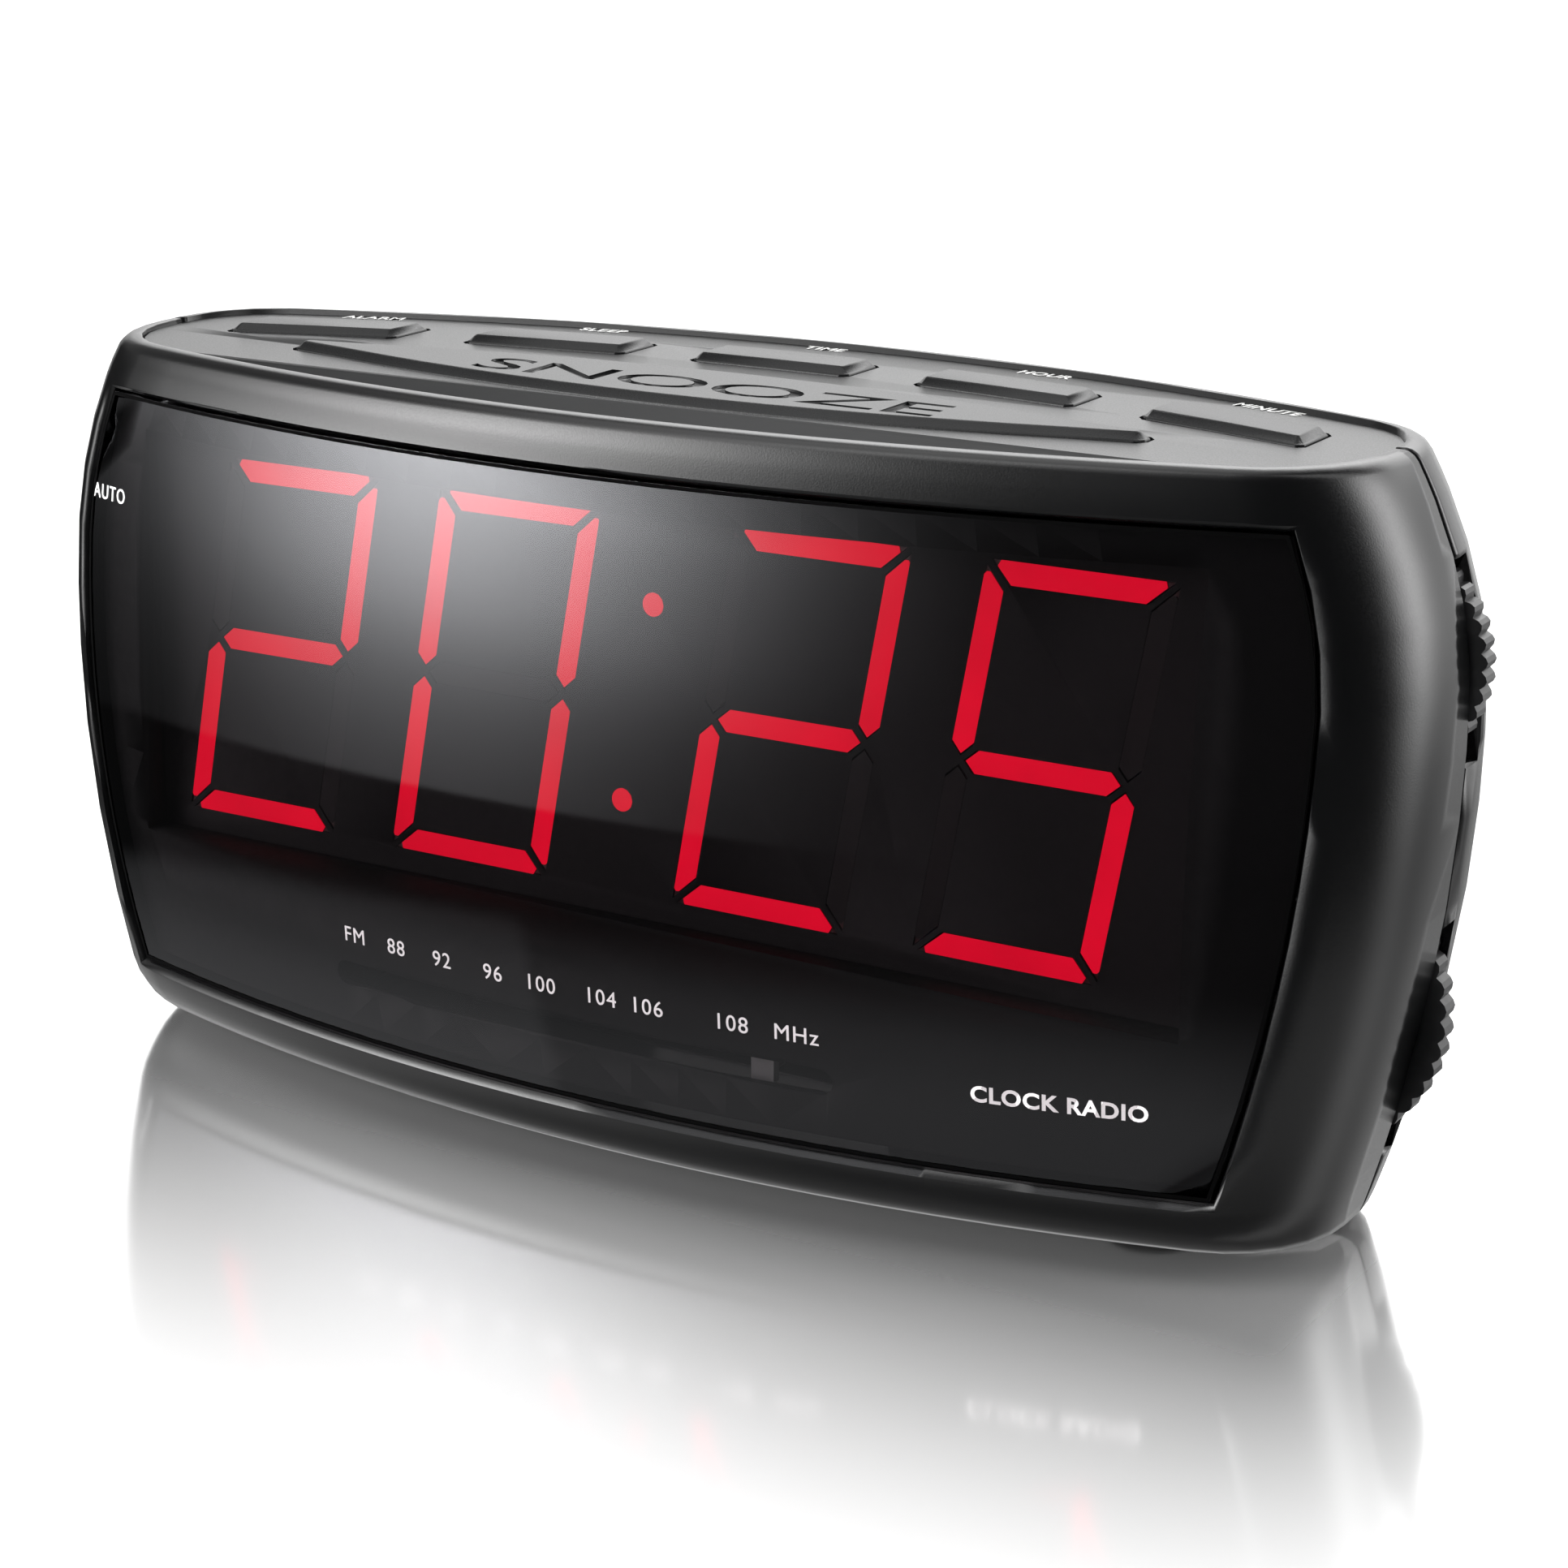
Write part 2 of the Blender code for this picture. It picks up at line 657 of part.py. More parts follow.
def display_shapes(grow):
    for left in digit_lefts():
        for outline in bar_outlines(left):
            yield grown(outline, grow)
    yield from colon_dots(grow)


def join(solids):
    """Gather several solids into one bmesh."""
    whole = bmesh.new()
    for bm in solids:
        mesh = bpy.data.meshes.new("piece")
        bm.to_mesh(mesh)
        bm.free()
        whole.from_mesh(mesh)
        bpy.data.meshes.remove(mesh)
    return whole


def make_display():
    x0, x1, z0, z1 = DISPLAY_BOX
    front, back = DISPLAY_Y, DISPLAY_Y + DISPLAY_DEPTH
    housing = add_part("led_housing", box(x0, x1, front, back - 1.5, z0, z1, LEAN), "casing")
    boolean(housing, join(flat_solid(o, front - 2, back + 2, "Y", LEAN) for o in display_shapes(0.0)))
    plate = box(x0, x1, back - 1.2, back, z0, z1, LEAN)
    diffuser = add_part("led_diffuser", plate, "red")
    bars = (flat_solid(o, front + 0.2, back - 0.8, "Y", LEAN) for o in display_shapes(-0.2))
    boolean(diffuser, join(bars), "UNION")
    board = back + GAP
    add_part("display_board", box(-74.0, 74.0, board, board + BOARD_THICK, 21.0, 72.9, LEAN), "board")
    chip = board + BOARD_THICK + GAP
    add_part("clock_chip", box(4.0, 40.0, chip, chip + 3.6, 40.0, 53.5, LEAN), "paper")


def make_hood():
    """Dark mask behind the lens, with a tunnel back to the display's face and a slot for the dial pointer."""
    x0, x1, z0, z1 = DISPLAY_BOX
    front = LENS_THICK + GAP
    tunnel = box(x0 - 1.6, x1 + 1.6, -5.0, DISPLAY_Y - GAP, z0 - 1.2, z1 + 1.2, LEAN)
    hood = add_part("display_hood", tunnel, "casing", smooth=30)
    boolean(hood, lens_shaped_plate(-5.0, -40.0, front + HOOD_THICK / 2, 24, 8))
    boolean(hood, lens_shaped_plate(0.6, front, front + HOOD_THICK, 24, 8), "UNION")
    boolean(hood, box(x0 + 0.4, x1 - 0.4, -20, 40, z0 + 0.4, z1 - 0.4, LEAN))
    left, right, bottom, top = DIAL_SLOT
    radius = (top - bottom) / 2
    ends = []
    for centre, start in ((right - radius, -90), (left + radius, 90)):
        for k in range(7):
            a = math.radians(start + 30 * k)
            ends.append((centre + radius * math.cos(a), bottom + radius + radius * math.sin(a)))
    boolean(hood, flat_solid(ends, -20, 12, "Y"))


# ---------------------------------------------------------------- tuning drive and volume control

def scalloped(axis, radius, lobes, depth):
    """Outline (x, z) of a thumbwheel whose rim has round lobes with sharp valleys."""
    points = []
    per_lobe = 4
    for k in range(lobes * per_lobe):
        angle = 2 * math.pi * k / (lobes * per_lobe)
        part = abs(math.sin(math.pi * (k % per_lobe) / per_lobe))
        r = radius - depth * (1 - part)
        points.append((axis[0] + r * math.cos(angle), axis[1] + r * math.sin(angle)))
    return points


def make_thumbwheel(name, axis, radius, lobes):
    back = WHEEL_FRONT + WHEEL_THICK
    wheel = add_part(name, flat_solid(scalloped(axis, radius, lobes, 0.7), WHEEL_FRONT, back, "Y"), "casing",
                     origin=(axis[0], WHEEL_FRONT, axis[1]))
    boolean(wheel, cylinder(axis, 2.7, WHEEL_FRONT - 2, back + 2))
    boolean(wheel, turned([(5.0, WHEEL_FRONT - 2), (radius - 3.0, WHEEL_FRONT - 2),
                           (radius - 3.0, WHEEL_FRONT + 0.8), (5.0, WHEEL_FRONT + 0.8)], axis))


def grooved(name, axis, cord_radius, y, bore):
    """A drum or pulley with a groove that the dial cord runs in."""
    root, lip = cord_radius - CORD_RADIUS - GAP, cord_radius + 1.3
    profile = [(bore, y - 1.7), (lip, y - 1.7), (lip, y - 1.1), (root, y - 0.7), (root, y + 0.7),
               (lip, y + 1.1), (lip, y + 1.7), (bore, y + 1.7)]
    return add_part(name, turned(profile, axis), "white", origin=(axis[0], y, axis[1]), smooth=35)


def cord_route():
    """The dial cord's closed loop round the drum and the far pulley, as (x, z) points."""
    drum, pulley = Vector(TUNING_AXIS), Vector(pulley_axis())
    r1, r2 = DRUM_CORD_RADIUS, PULLEY_CORD_RADIUS
    span = drum - pulley
    slope = math.atan2(span.y, span.x)
    tilt = math.asin((r1 - r2) / span.length)
    top = math.degrees(slope + tilt) + 90
    points = []
    for centre, radius, start, end in ((drum, r1, -90, top), (pulley, r2, top, 270)):
        for k in range(17):
            a = math.radians(start + (end - start) * k / 16)
            points.append((centre.x + radius * math.cos(a), centre.y + radius * math.sin(a)))
    return points


def pulley_axis():
    return PULLEY_X, TUNING_AXIS[1] - DRUM_CORD_RADIUS + PULLEY_CORD_RADIUS


def make_dial_cord():
    curve = bpy.data.curves.new("dial_cord", "CURVE")
    curve.dimensions = "3D"
    curve.bevel_depth = CORD_RADIUS * MM
    curve.bevel_resolution = 1
    route = cord_route()
    spline = curve.splines.new("POLY")
    spline.points.add(len(route) - 1)
    for target, (x, z) in zip(spline.points, route):
        target.co = (x * MM, CORD_Y * MM, z * MM, 1.0)
    spline.use_cyclic_u = True
    cord = bpy.data.objects.new("dial_cord", curve)
    PARTS.objects.link(cord)
    cord.parent = ROOT
    curve.materials.append(material("white"))


def make_pointer():
    x, z0, z1 = POINTER_X, 11.6, 15.2
    front = 5.7
    low = TUNING_AXIS[1] - DRUM_CORD_RADIUS + CORD_RADIUS + GAP
    pointer = add_part("dial_pointer", box(x - 1.5, x + 1.5, front, front + 1.2, z0, z1), "white",
                       origin=(x, CORD_Y, low))
    boolean(pointer, box(x - 1.1, x + 1.1, front + 0.6, CORD_Y + 1.3, 12.8, 14.2), "UNION")
    boolean(pointer, box(x - 1.4, x + 1.4, CORD_Y - 1.3, CORD_Y + 1.4, low, 14.4), "UNION")


def make_radio_section():
    make_thumbwheel("tuning_wheel", TUNING_AXIS, TUNING_RADIUS, 44)
    make_thumbwheel("volume_wheel", VOLUME_AXIS, VOLUME_RADIUS, 42)
    grooved("dial_drum", TUNING_AXIS, DRUM_CORD_RADIUS, CORD_Y, 2.7)
    grooved("dial_pulley", pulley_axis(), PULLEY_CORD_RADIUS, CORD_Y, 1.6)
    add_part("pulley_pin", cylinder(pulley_axis(), 1.3, 29.6, 36.4, sides=16), "steel")
    add_part("tuning_shaft", cylinder(TUNING_AXIS, 2.4, 30.4, 44.0), "steel",
             origin=(TUNING_AXIS[0], CORD_Y, TUNING_AXIS[1]))
    add_part("volume_shaft", cylinder(VOLUME_AXIS, 2.4, 34.6, 42.0), "steel",
             origin=(VOLUME_AXIS[0], WHEEL_FRONT, VOLUME_AXIS[1]))
    make_dial_cord()
    make_pointer()
    front = WHEEL_FRONT + WHEEL_THICK + 0.8
    x, z = TUNING_AXIS
    tuner = add_part("tuning_capacitor", box(x - 8, x + 8, front, 45.0, z - 8, z + 8), "white")
    boolean(tuner, cylinder(TUNING_AXIS, 2.8, 30.0, 44.4))
    pot = add_part("volume_control", cylinder(VOLUME_AXIS, 6.2, front, 43.6, sides=32), "steel")
    boolean(pot, cylinder(VOLUME_AXIS, 2.8, 30.0, 42.4))
    outline = [(34.0, 12.0), (70.0, 12.0), (70.0, 44.0), (80.0, 52.0), (80.0, 72.9), (34.0, 72.9)]
    add_part("radio_board", flat_solid(outline, 45.4, 45.4 + BOARD_THICK, "Y"), "board")
    add_part("tuner_chip", box(46.0, 64.0, 47.3, 50.3, 26.0, 33.5), "paper")
    add_part("filter_capacitor", cylinder((46.0, 56.0), 5.0, 31.0, 45.0), "paper")


# ---------------------------------------------------------------- switch, speaker, supply, battery, feet

def make_function_switch():
    y, z = KNOB_Y, KNOB_Z
    cap = box(-SIDE_REACH, -93.5, y - 2.6, y + 2.6, z - 4.0, z + 4.0)
    knob = add_part("function_knob", cap, "panel", origin=(-93.5, y, z))
    boolean(knob, box(-93.8, -87.2, y - 1.3, y + 1.3, z - 1.6, z + 1.6), "UNION")
    add_part("function_switch", box(-86.8, -80.4, y - 3.0, y + 3.0, z - 10.0, z + 10.0), "steel")


def make_speaker():
    centre = (SPEAKER_X, SPEAKER_Z)
    back = SPEAKER_BACK
    rim = SPEAKER_RADIUS
    frame = [(rim, back), (rim, back - 1.4), (rim - 3.0, back - 1.4), (11.5, back - 12.0), (4.5, back - 12.0),
             (4.5, back - 10.8), (10.6, back - 10.8), (rim - 3.8, back)]
    add_part("speaker_frame", turned(frame, centre), "steel", smooth=30)
    cone = [(rim - 4.6, back - 0.4), (rim - 5.8, back + 0.3), (rim - 7.0, back - 0.6), (3.6, back - 9.0),
            (0.8, back - 8.4), (0.8, back - 9.2), (3.4, back - 10.0), (rim - 6.6, back - 1.6),
            (rim - 5.8, back - 0.7), (rim - 4.9, back - 1.0)]
    add_part("speaker_cone", turned(cone, centre), "paper", smooth=40)
    add_part("speaker_magnet", cylinder(centre, 11.0, back - 19.6, back - 12.3, sides=32), "steel", smooth=40)


def make_transformer():
    x, y, z = TRANSFORMER
    core = add_part("transformer_core", box(x - 18, x + 18, y - 8, y + 8, z - 15, z + 15), "steel")
    for side in (-1, 1):
        middle = x + side * 8.5
        boolean(core, box(middle - 3.5, middle + 3.5, y - 12, y + 12, z - 10, z + 10))
    wound = box(x - 11.6, x + 11.6, y - 11.6, y + 9.2, z - 9.6, z + 9.6)
    coil = add_part("transformer_winding", wound, "copper")
    boolean(coil, box(x - 5.4, x + 5.4, y - 8.4, y + 8.4, z - 12, z + 12))


def door_back(x):
    return back_y(UNDERSIDE) - BASE_ROUND - bow(x, BACK_RADIUS)


def make_battery_bay():
    x0, x1, y0, y1, top = TRAY
    low = UNDERSIDE + WALL + 0.7
    tray = add_part("battery_tray", box(x0, x1, y0, y1, low, top), "casing")
    boolean(tray, box(x0 + 1.2, x1 - 1.2, y0 + 1.2, y1 - 1.2, low - 3.0, top - 1.2))
    xs = [x0 + 2.4 + (x1 - x0 - 4.8) * k / 8 for k in range(9)]
    outline = [(xs[0], y0 + 1.6), (xs[-1], y0 + 1.6)] + [(x, door_back(x) - 0.2) for x in reversed(xs)]
    add_part("battery_door", flat_solid(outline, UNDERSIDE + 0.1, UNDERSIDE + WALL - 0.1), "casing")
    snap = add_part("battery_snap", box(x1 - 4.2, x1 - 1.6, y0 + 3.6, y1 - 3.6, 5.0, 28.0), "paper")
    for z in (10.2, 22.8):
        boolean(snap, cylinder(((y0 + y1) / 2, z), 2.6, x1 - 5.8, x1 - 4.0, axis="X", sides=16), "UNION")


def make_fasteners():
    for side, name in ((-1, "left"), (1, "right")):
        axis = (side * SCREW_X, SCREW_Z)
        screw = add_part(f"case_screw_{name}", cylinder(axis, 1.35, 42.0, 54.9, sides=16), "steel", smooth=40)
        boolean(screw, cylinder(axis, 2.8, 54.2, 56.8, sides=20), "UNION")
        boolean(screw, box(axis[0] - 1.9, axis[0] + 1.9, 56.0, 58.0, axis[1] - 0.3, axis[1] + 0.3))
    for side, name in ((-1, "left"), (1, "right")):
        for row, y, x in (("front", 25.5, 62.0), ("rear", 46.0, 62.0)):
            low, high = UNDERSIDE - FOOT_HEIGHT, UNDERSIDE - GAP
            foot = cylinder((side * x, y), 5.4, low, high, axis="Z", top_radius=5.9)
            add_part(f"foot_{row}_{name}", foot, "rubber", smooth=40)


def make_cord_gland():
    """Bush where the mains lead enters; the lead itself isn't part of the object."""
    wall = back_y(GLAND[1]) - bow(GLAND[0], BACK_RADIUS)
    profile = [(2.2, wall - 7.4), (4.8, wall - 7.4), (4.8, wall - 6.0), (3.5, wall - 5.8), (3.5, wall + 2.4),
               (5.2, wall + 2.6), (4.6, wall + 4.2), (2.2, wall + 4.2)]
    add_part("mains_cord_gland", turned(profile, GLAND, 24), "rubber", smooth=40)


make_front_casing()
make_rear_casing()
make_lens()
make_top_panel()
make_keys()
make_key_board()
make_display()
make_hood()
make_radio_section()
make_function_switch()
make_speaker()
make_transformer()
make_battery_bay()
make_fasteners()
make_cord_gland()
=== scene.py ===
"""Looks for the clock radio: finishes, lit display, printed legends, studio light and the photo's view."""

import json
import math

import bmesh
import bpy
from mathutils import Matrix, Vector

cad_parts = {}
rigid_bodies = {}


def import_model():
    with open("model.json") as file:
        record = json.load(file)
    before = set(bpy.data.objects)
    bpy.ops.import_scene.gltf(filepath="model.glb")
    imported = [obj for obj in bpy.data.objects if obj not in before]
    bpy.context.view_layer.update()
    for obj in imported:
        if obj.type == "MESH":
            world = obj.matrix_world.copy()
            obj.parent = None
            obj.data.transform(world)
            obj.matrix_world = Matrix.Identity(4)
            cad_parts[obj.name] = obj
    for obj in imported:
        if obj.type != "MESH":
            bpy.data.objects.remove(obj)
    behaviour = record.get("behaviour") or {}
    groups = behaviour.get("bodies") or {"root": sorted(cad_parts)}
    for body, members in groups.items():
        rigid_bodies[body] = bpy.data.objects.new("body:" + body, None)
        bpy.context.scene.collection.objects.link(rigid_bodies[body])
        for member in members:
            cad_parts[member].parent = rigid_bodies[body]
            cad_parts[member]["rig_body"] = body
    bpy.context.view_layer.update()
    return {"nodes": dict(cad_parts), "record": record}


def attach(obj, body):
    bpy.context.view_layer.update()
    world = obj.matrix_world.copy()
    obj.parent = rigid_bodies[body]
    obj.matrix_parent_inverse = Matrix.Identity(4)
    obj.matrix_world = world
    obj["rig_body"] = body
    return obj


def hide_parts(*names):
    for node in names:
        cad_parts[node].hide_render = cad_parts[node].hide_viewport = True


MM = 0.001
# The CAD's working frame: Y zero near the window's foremost line, Z zero a little above the underside.
BASE = Vector((0.0, -32.54, 3.7)) * MM

# Window, in mm: the radius of its bow, its lean per mm of height, its edges, and how its face swells.
LENS_RADIUS = 270.4
LEAN = 0.0555
LENS_LOW = 6.6
LENS_HIGH = 79.4
LENS_HALF = 83.71
LENS_WIDEST_Z = 59.6
LENS_FLARE_BELOW = 0.003
LENS_FLARE_ABOVE = 0.011
LENS_SET = -1.94
LENS_BULGE = 2.56
LENS_MIDDLE_Z = 43.0
LENS_THICK = 1.8
# Height at which the display is as deep as DISPLAY_Y says.
DISPLAY_LEAN_Z = 6.8

# Painted shade round the window: a black strip that stands in for the shadow line at the window's edge. In
# mm: its two edges inside the window's own, and how far it stands proud.
SHADE_STRIP_OUTER = 0.02
SHADE_STRIP_INNER = 0.42
SHADE_STRIP_PROUD = 0.12

# Casing, in mm: heights of the rim, the top panel and the caps of the keys, and the bow of the back.
HEIGHT = 85.67
PANEL_TOP = HEIGHT - 0.55
CAP_TOP = HEIGHT + 0.45
# Rounding of the rim's edges, which are level within LIP_LEVEL mm and fold by more than LIP_CORNER degrees.
LIP_ROUND = 0.35
LIP_LEVEL = 0.03
LIP_CORNER = 60.0
# Rounding of the edges of the keys, the snooze bar and the function knob.
KEY_ROUND = 0.22
SNOOZE_ROUND = 0.25
KNOB_ROUND = 0.3
# Distance from key to key.
BUTTON_PITCH = 31.43
BACK_RADIUS = 228.0
BACK_BOW = 4.9
BACK_Z = 45.0
# The even part of the back: half its width, its lowest and its highest point.
BACK_HALF = 72.0
BACK_SPAN = (0.5, 78.0)

# Display, in mm: the first digit's corner, a digit's size, the steps to the next digit, and its bars.
DIGIT_LEFT = -70.47
DIGIT_LOW = 26.58
DIGIT_WIDTH = 23.17
DIGIT_HEIGHT = 45.72
DIGIT_PITCH = 32.39
COLON_PITCH = 41.38
DIGIT_SLANT = 0.1683
BAR_WIDTH = 2.75
BAR_GAP = 0.5
BAR_TIP = 1.0
BAR_CUT = 0.7
BAR_CORNER = 0.25
BAR_SHRINK = 0.28
DISPLAY_Y = 14.94
BAR_DEPTHS = (DISPLAY_Y + 0.02, DISPLAY_Y + 0.17)
DOT_RADIUS = 1.4
DOT_CORNERS = 24
# Each dot of the colon: its share of the digit's height, and how far it is off that height.
DOTS = (("lower", 0.25, -0.2), ("upper", 0.75, 0.8))
TIME_SHOWN = "2025"

# Printing, in mm: thickness of the ink, and the middle of the ink from the face that it is on.
INK_THICK = 0.06
BEHIND_LENS = 0.07
BEFORE_LENS = 0.06
ABOVE_PANEL = 0.045
SCALE = (("FM", -34.7), ("88", -27.8), ("92", -20.5), ("96", -12.7), ("100", -5.7), ("104", 2.8),
         ("106", 9.1), ("108", 20.1), ("MHz", 28.2))
SCALE_Z = 19.1
SCALE_SIZE = 2.75
LEGEND_SIZE = 2.6
AUTO_AT = (-79.4, 66.7)
FRONT_NAME_AT = (58.4, 15.3)
KEY_NAMES = ("ALARM", "SLEEP", "TIME", "HOUR", "MINUTE")
KEY_NAME_SHIFT = -0.6
KEY_NAME_Y = 57.9
KEY_NAME_SIZE = 2.5

# The engraved word, in mm: its middle, its width and height, and how deep it is cut.
SNOOZE_WORD = (2.4, 26.1)
SNOOZE_WORD_SIZE = (62.7, 6.7)
SNOOZE_WORD_DEPTH = 0.35

# A face belongs to a known surface when the cosine between its normal and the surface's is above this.
SAME_SURFACE = 0.985

# Noise is spread from this range to the one that is asked for, as it seldom goes past it.
NOISE_SPAN = (0.3, 0.7)
# Grain of the mouldings that are seen close to, and the depth of any grain's relief in metres.
FINE_GRAIN = 5200.0
GRAIN_RELIEF = 0.00006
GLOW_PATCH = 90.0

# Half the floor's side, in metres.
FLOOR_REACH = 6.0
# The floor's gloss: its share beside the radio, the distance over which it fades out, and its roughness.
FLOOR_SHINE = 0.80
FLOOR_FADE = 0.086
FLOOR_ROUGH = 0.11
# Half the width and half the depth of the radio's footprint, in metres.
FOOTPRINT = (0.085, 0.030)

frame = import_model()


# ---------------------------------------------------------------- node materials

def nodes_of(name):
    """A new material with an empty node tree."""
    made = bpy.data.materials.new(name)
    made.use_nodes = True
    tree = made.node_tree
    tree.nodes.clear()
    return made, tree


def calc(tree, operation, first, second=0.0):
    """One maths node; its inputs are numbers or other nodes' outputs."""
    made = tree.nodes.new("ShaderNodeMath")
    made.operation = operation
    for socket, value in zip(made.inputs, (first, second)):
        if isinstance(value, (int, float)):
            socket.default_value = value
        else:
            tree.links.new(value, socket)
    return made.outputs["Value"]


def mottled(tree, scale, low, high, detail=4.0, stretch=None):
    """Noise in object space mapped to a range, for colour and roughness breakup."""
    place = tree.nodes.new("ShaderNodeTexCoord")
    noise = tree.nodes.new("ShaderNodeTexNoise")
    noise.inputs["Scale"].default_value = scale
    noise.inputs["Detail"].default_value = detail
    source = place.outputs["Object"]
    if stretch:
        mapping = tree.nodes.new("ShaderNodeMapping")
        mapping.inputs["Scale"].default_value = stretch
        tree.links.new(source, mapping.inputs["Vector"])
        source = mapping.outputs["Vector"]
    tree.links.new(source, noise.inputs["Vector"])
    span = tree.nodes.new("ShaderNodeMapRange")
    span.inputs["From Min"].default_value, span.inputs["From Max"].default_value = NOISE_SPAN
    span.inputs["To Min"].default_value, span.inputs["To Max"].default_value = low, high
    tree.links.new(noise.outputs["Fac"], span.inputs["Value"])
    return noise, span


def finish(name, dark, light, rough=(0.3, 0.4), grain=900.0, patch=60.0, metallic=0.0, specular=0.5,
           bump=0.0, stretch=None, glow=None):
    """A surface whose colour drifts between two tones, with grain in its roughness and relief.

    glow is a colour with the lowest and the highest strength of the light that the surface gives off.
    """
    made, tree = nodes_of(name)
    shader = tree.nodes.new("ShaderNodeBsdfPrincipled")
    output = tree.nodes.new("ShaderNodeOutputMaterial")
    tree.links.new(shader.outputs["BSDF"], output.inputs["Surface"])
    _, drift = mottled(tree, patch, 0.0, 1.0, stretch=stretch)
    mix = tree.nodes.new("ShaderNodeMix")
    mix.data_type = "RGBA"
    mix.inputs["A"].default_value = (*dark, 1.0)
    mix.inputs["B"].default_value = (*light, 1.0)
    tree.links.new(drift.outputs["Result"], mix.inputs["Factor"])
    tree.links.new(mix.outputs["Result"], shader.inputs["Base Color"])
    fine, rougher = mottled(tree, grain, rough[0], rough[1], detail=2.0, stretch=stretch)
    tree.links.new(rougher.outputs["Result"], shader.inputs["Roughness"])
    shader.inputs["Metallic"].default_value = metallic
    shader.inputs["Specular IOR Level"].default_value = specular
    if bump:
        relief = tree.nodes.new("ShaderNodeBump")
        relief.inputs["Strength"].default_value = bump
        relief.inputs["Distance"].default_value = GRAIN_RELIEF
        tree.links.new(fine.outputs["Fac"], relief.inputs["Height"])
        tree.links.new(relief.outputs["Normal"], shader.inputs["Normal"])
    # On the LED bars the glow is their own light; on the legends' ink it is painted glow.
    if glow:
        colour, weakest, strongest = glow
        shader.inputs["Emission Color"].default_value = (*colour, 1.0)
        _, strength = mottled(tree, GLOW_PATCH, weakest, strongest)
        tree.links.new(strength.outputs["Result"], shader.inputs["Emission Strength"])
    return made


def smoked():
    """Smoked plastic: a tint with a sharp reflection on the outer face that grows at grazing angles."""
    made, tree = nodes_of("smoked_window")
    output = tree.nodes.new("ShaderNodeOutputMaterial")
    tint = tree.nodes.new("ShaderNodeBsdfTransparent")
    tint.inputs["Color"].default_value = (0.74, 0.72, 0.73, 1.0)
    gloss = tree.nodes.new("ShaderNodeBsdfGlossy")
    _, rougher = mottled(tree, 25.0, 0.015, 0.035)
    tree.links.new(rougher.outputs["Result"], gloss.inputs["Roughness"])
    gloss.inputs["Color"].default_value = (0.95, 0.96, 1.0, 1.0)
    edge = tree.nodes.new("ShaderNodeFresnel")
    edge.inputs["IOR"].default_value = 1.5
    side = tree.nodes.new("ShaderNodeNewGeometry")
    outer = calc(tree, "SUBTRACT", 1.0, side.outputs["Backfacing"])
    mix = tree.nodes.new("ShaderNodeMixShader")
    tree.links.new(calc(tree, "MULTIPLY", edge.outputs["Fac"], outer), mix.inputs["Fac"])
    tree.links.new(tint.outputs["BSDF"], mix.inputs[1])
    tree.links.new(gloss.outputs["BSDF"], mix.inputs[2])
    tree.links.new(mix.outputs["Shader"], output.inputs["Surface"])
    return made


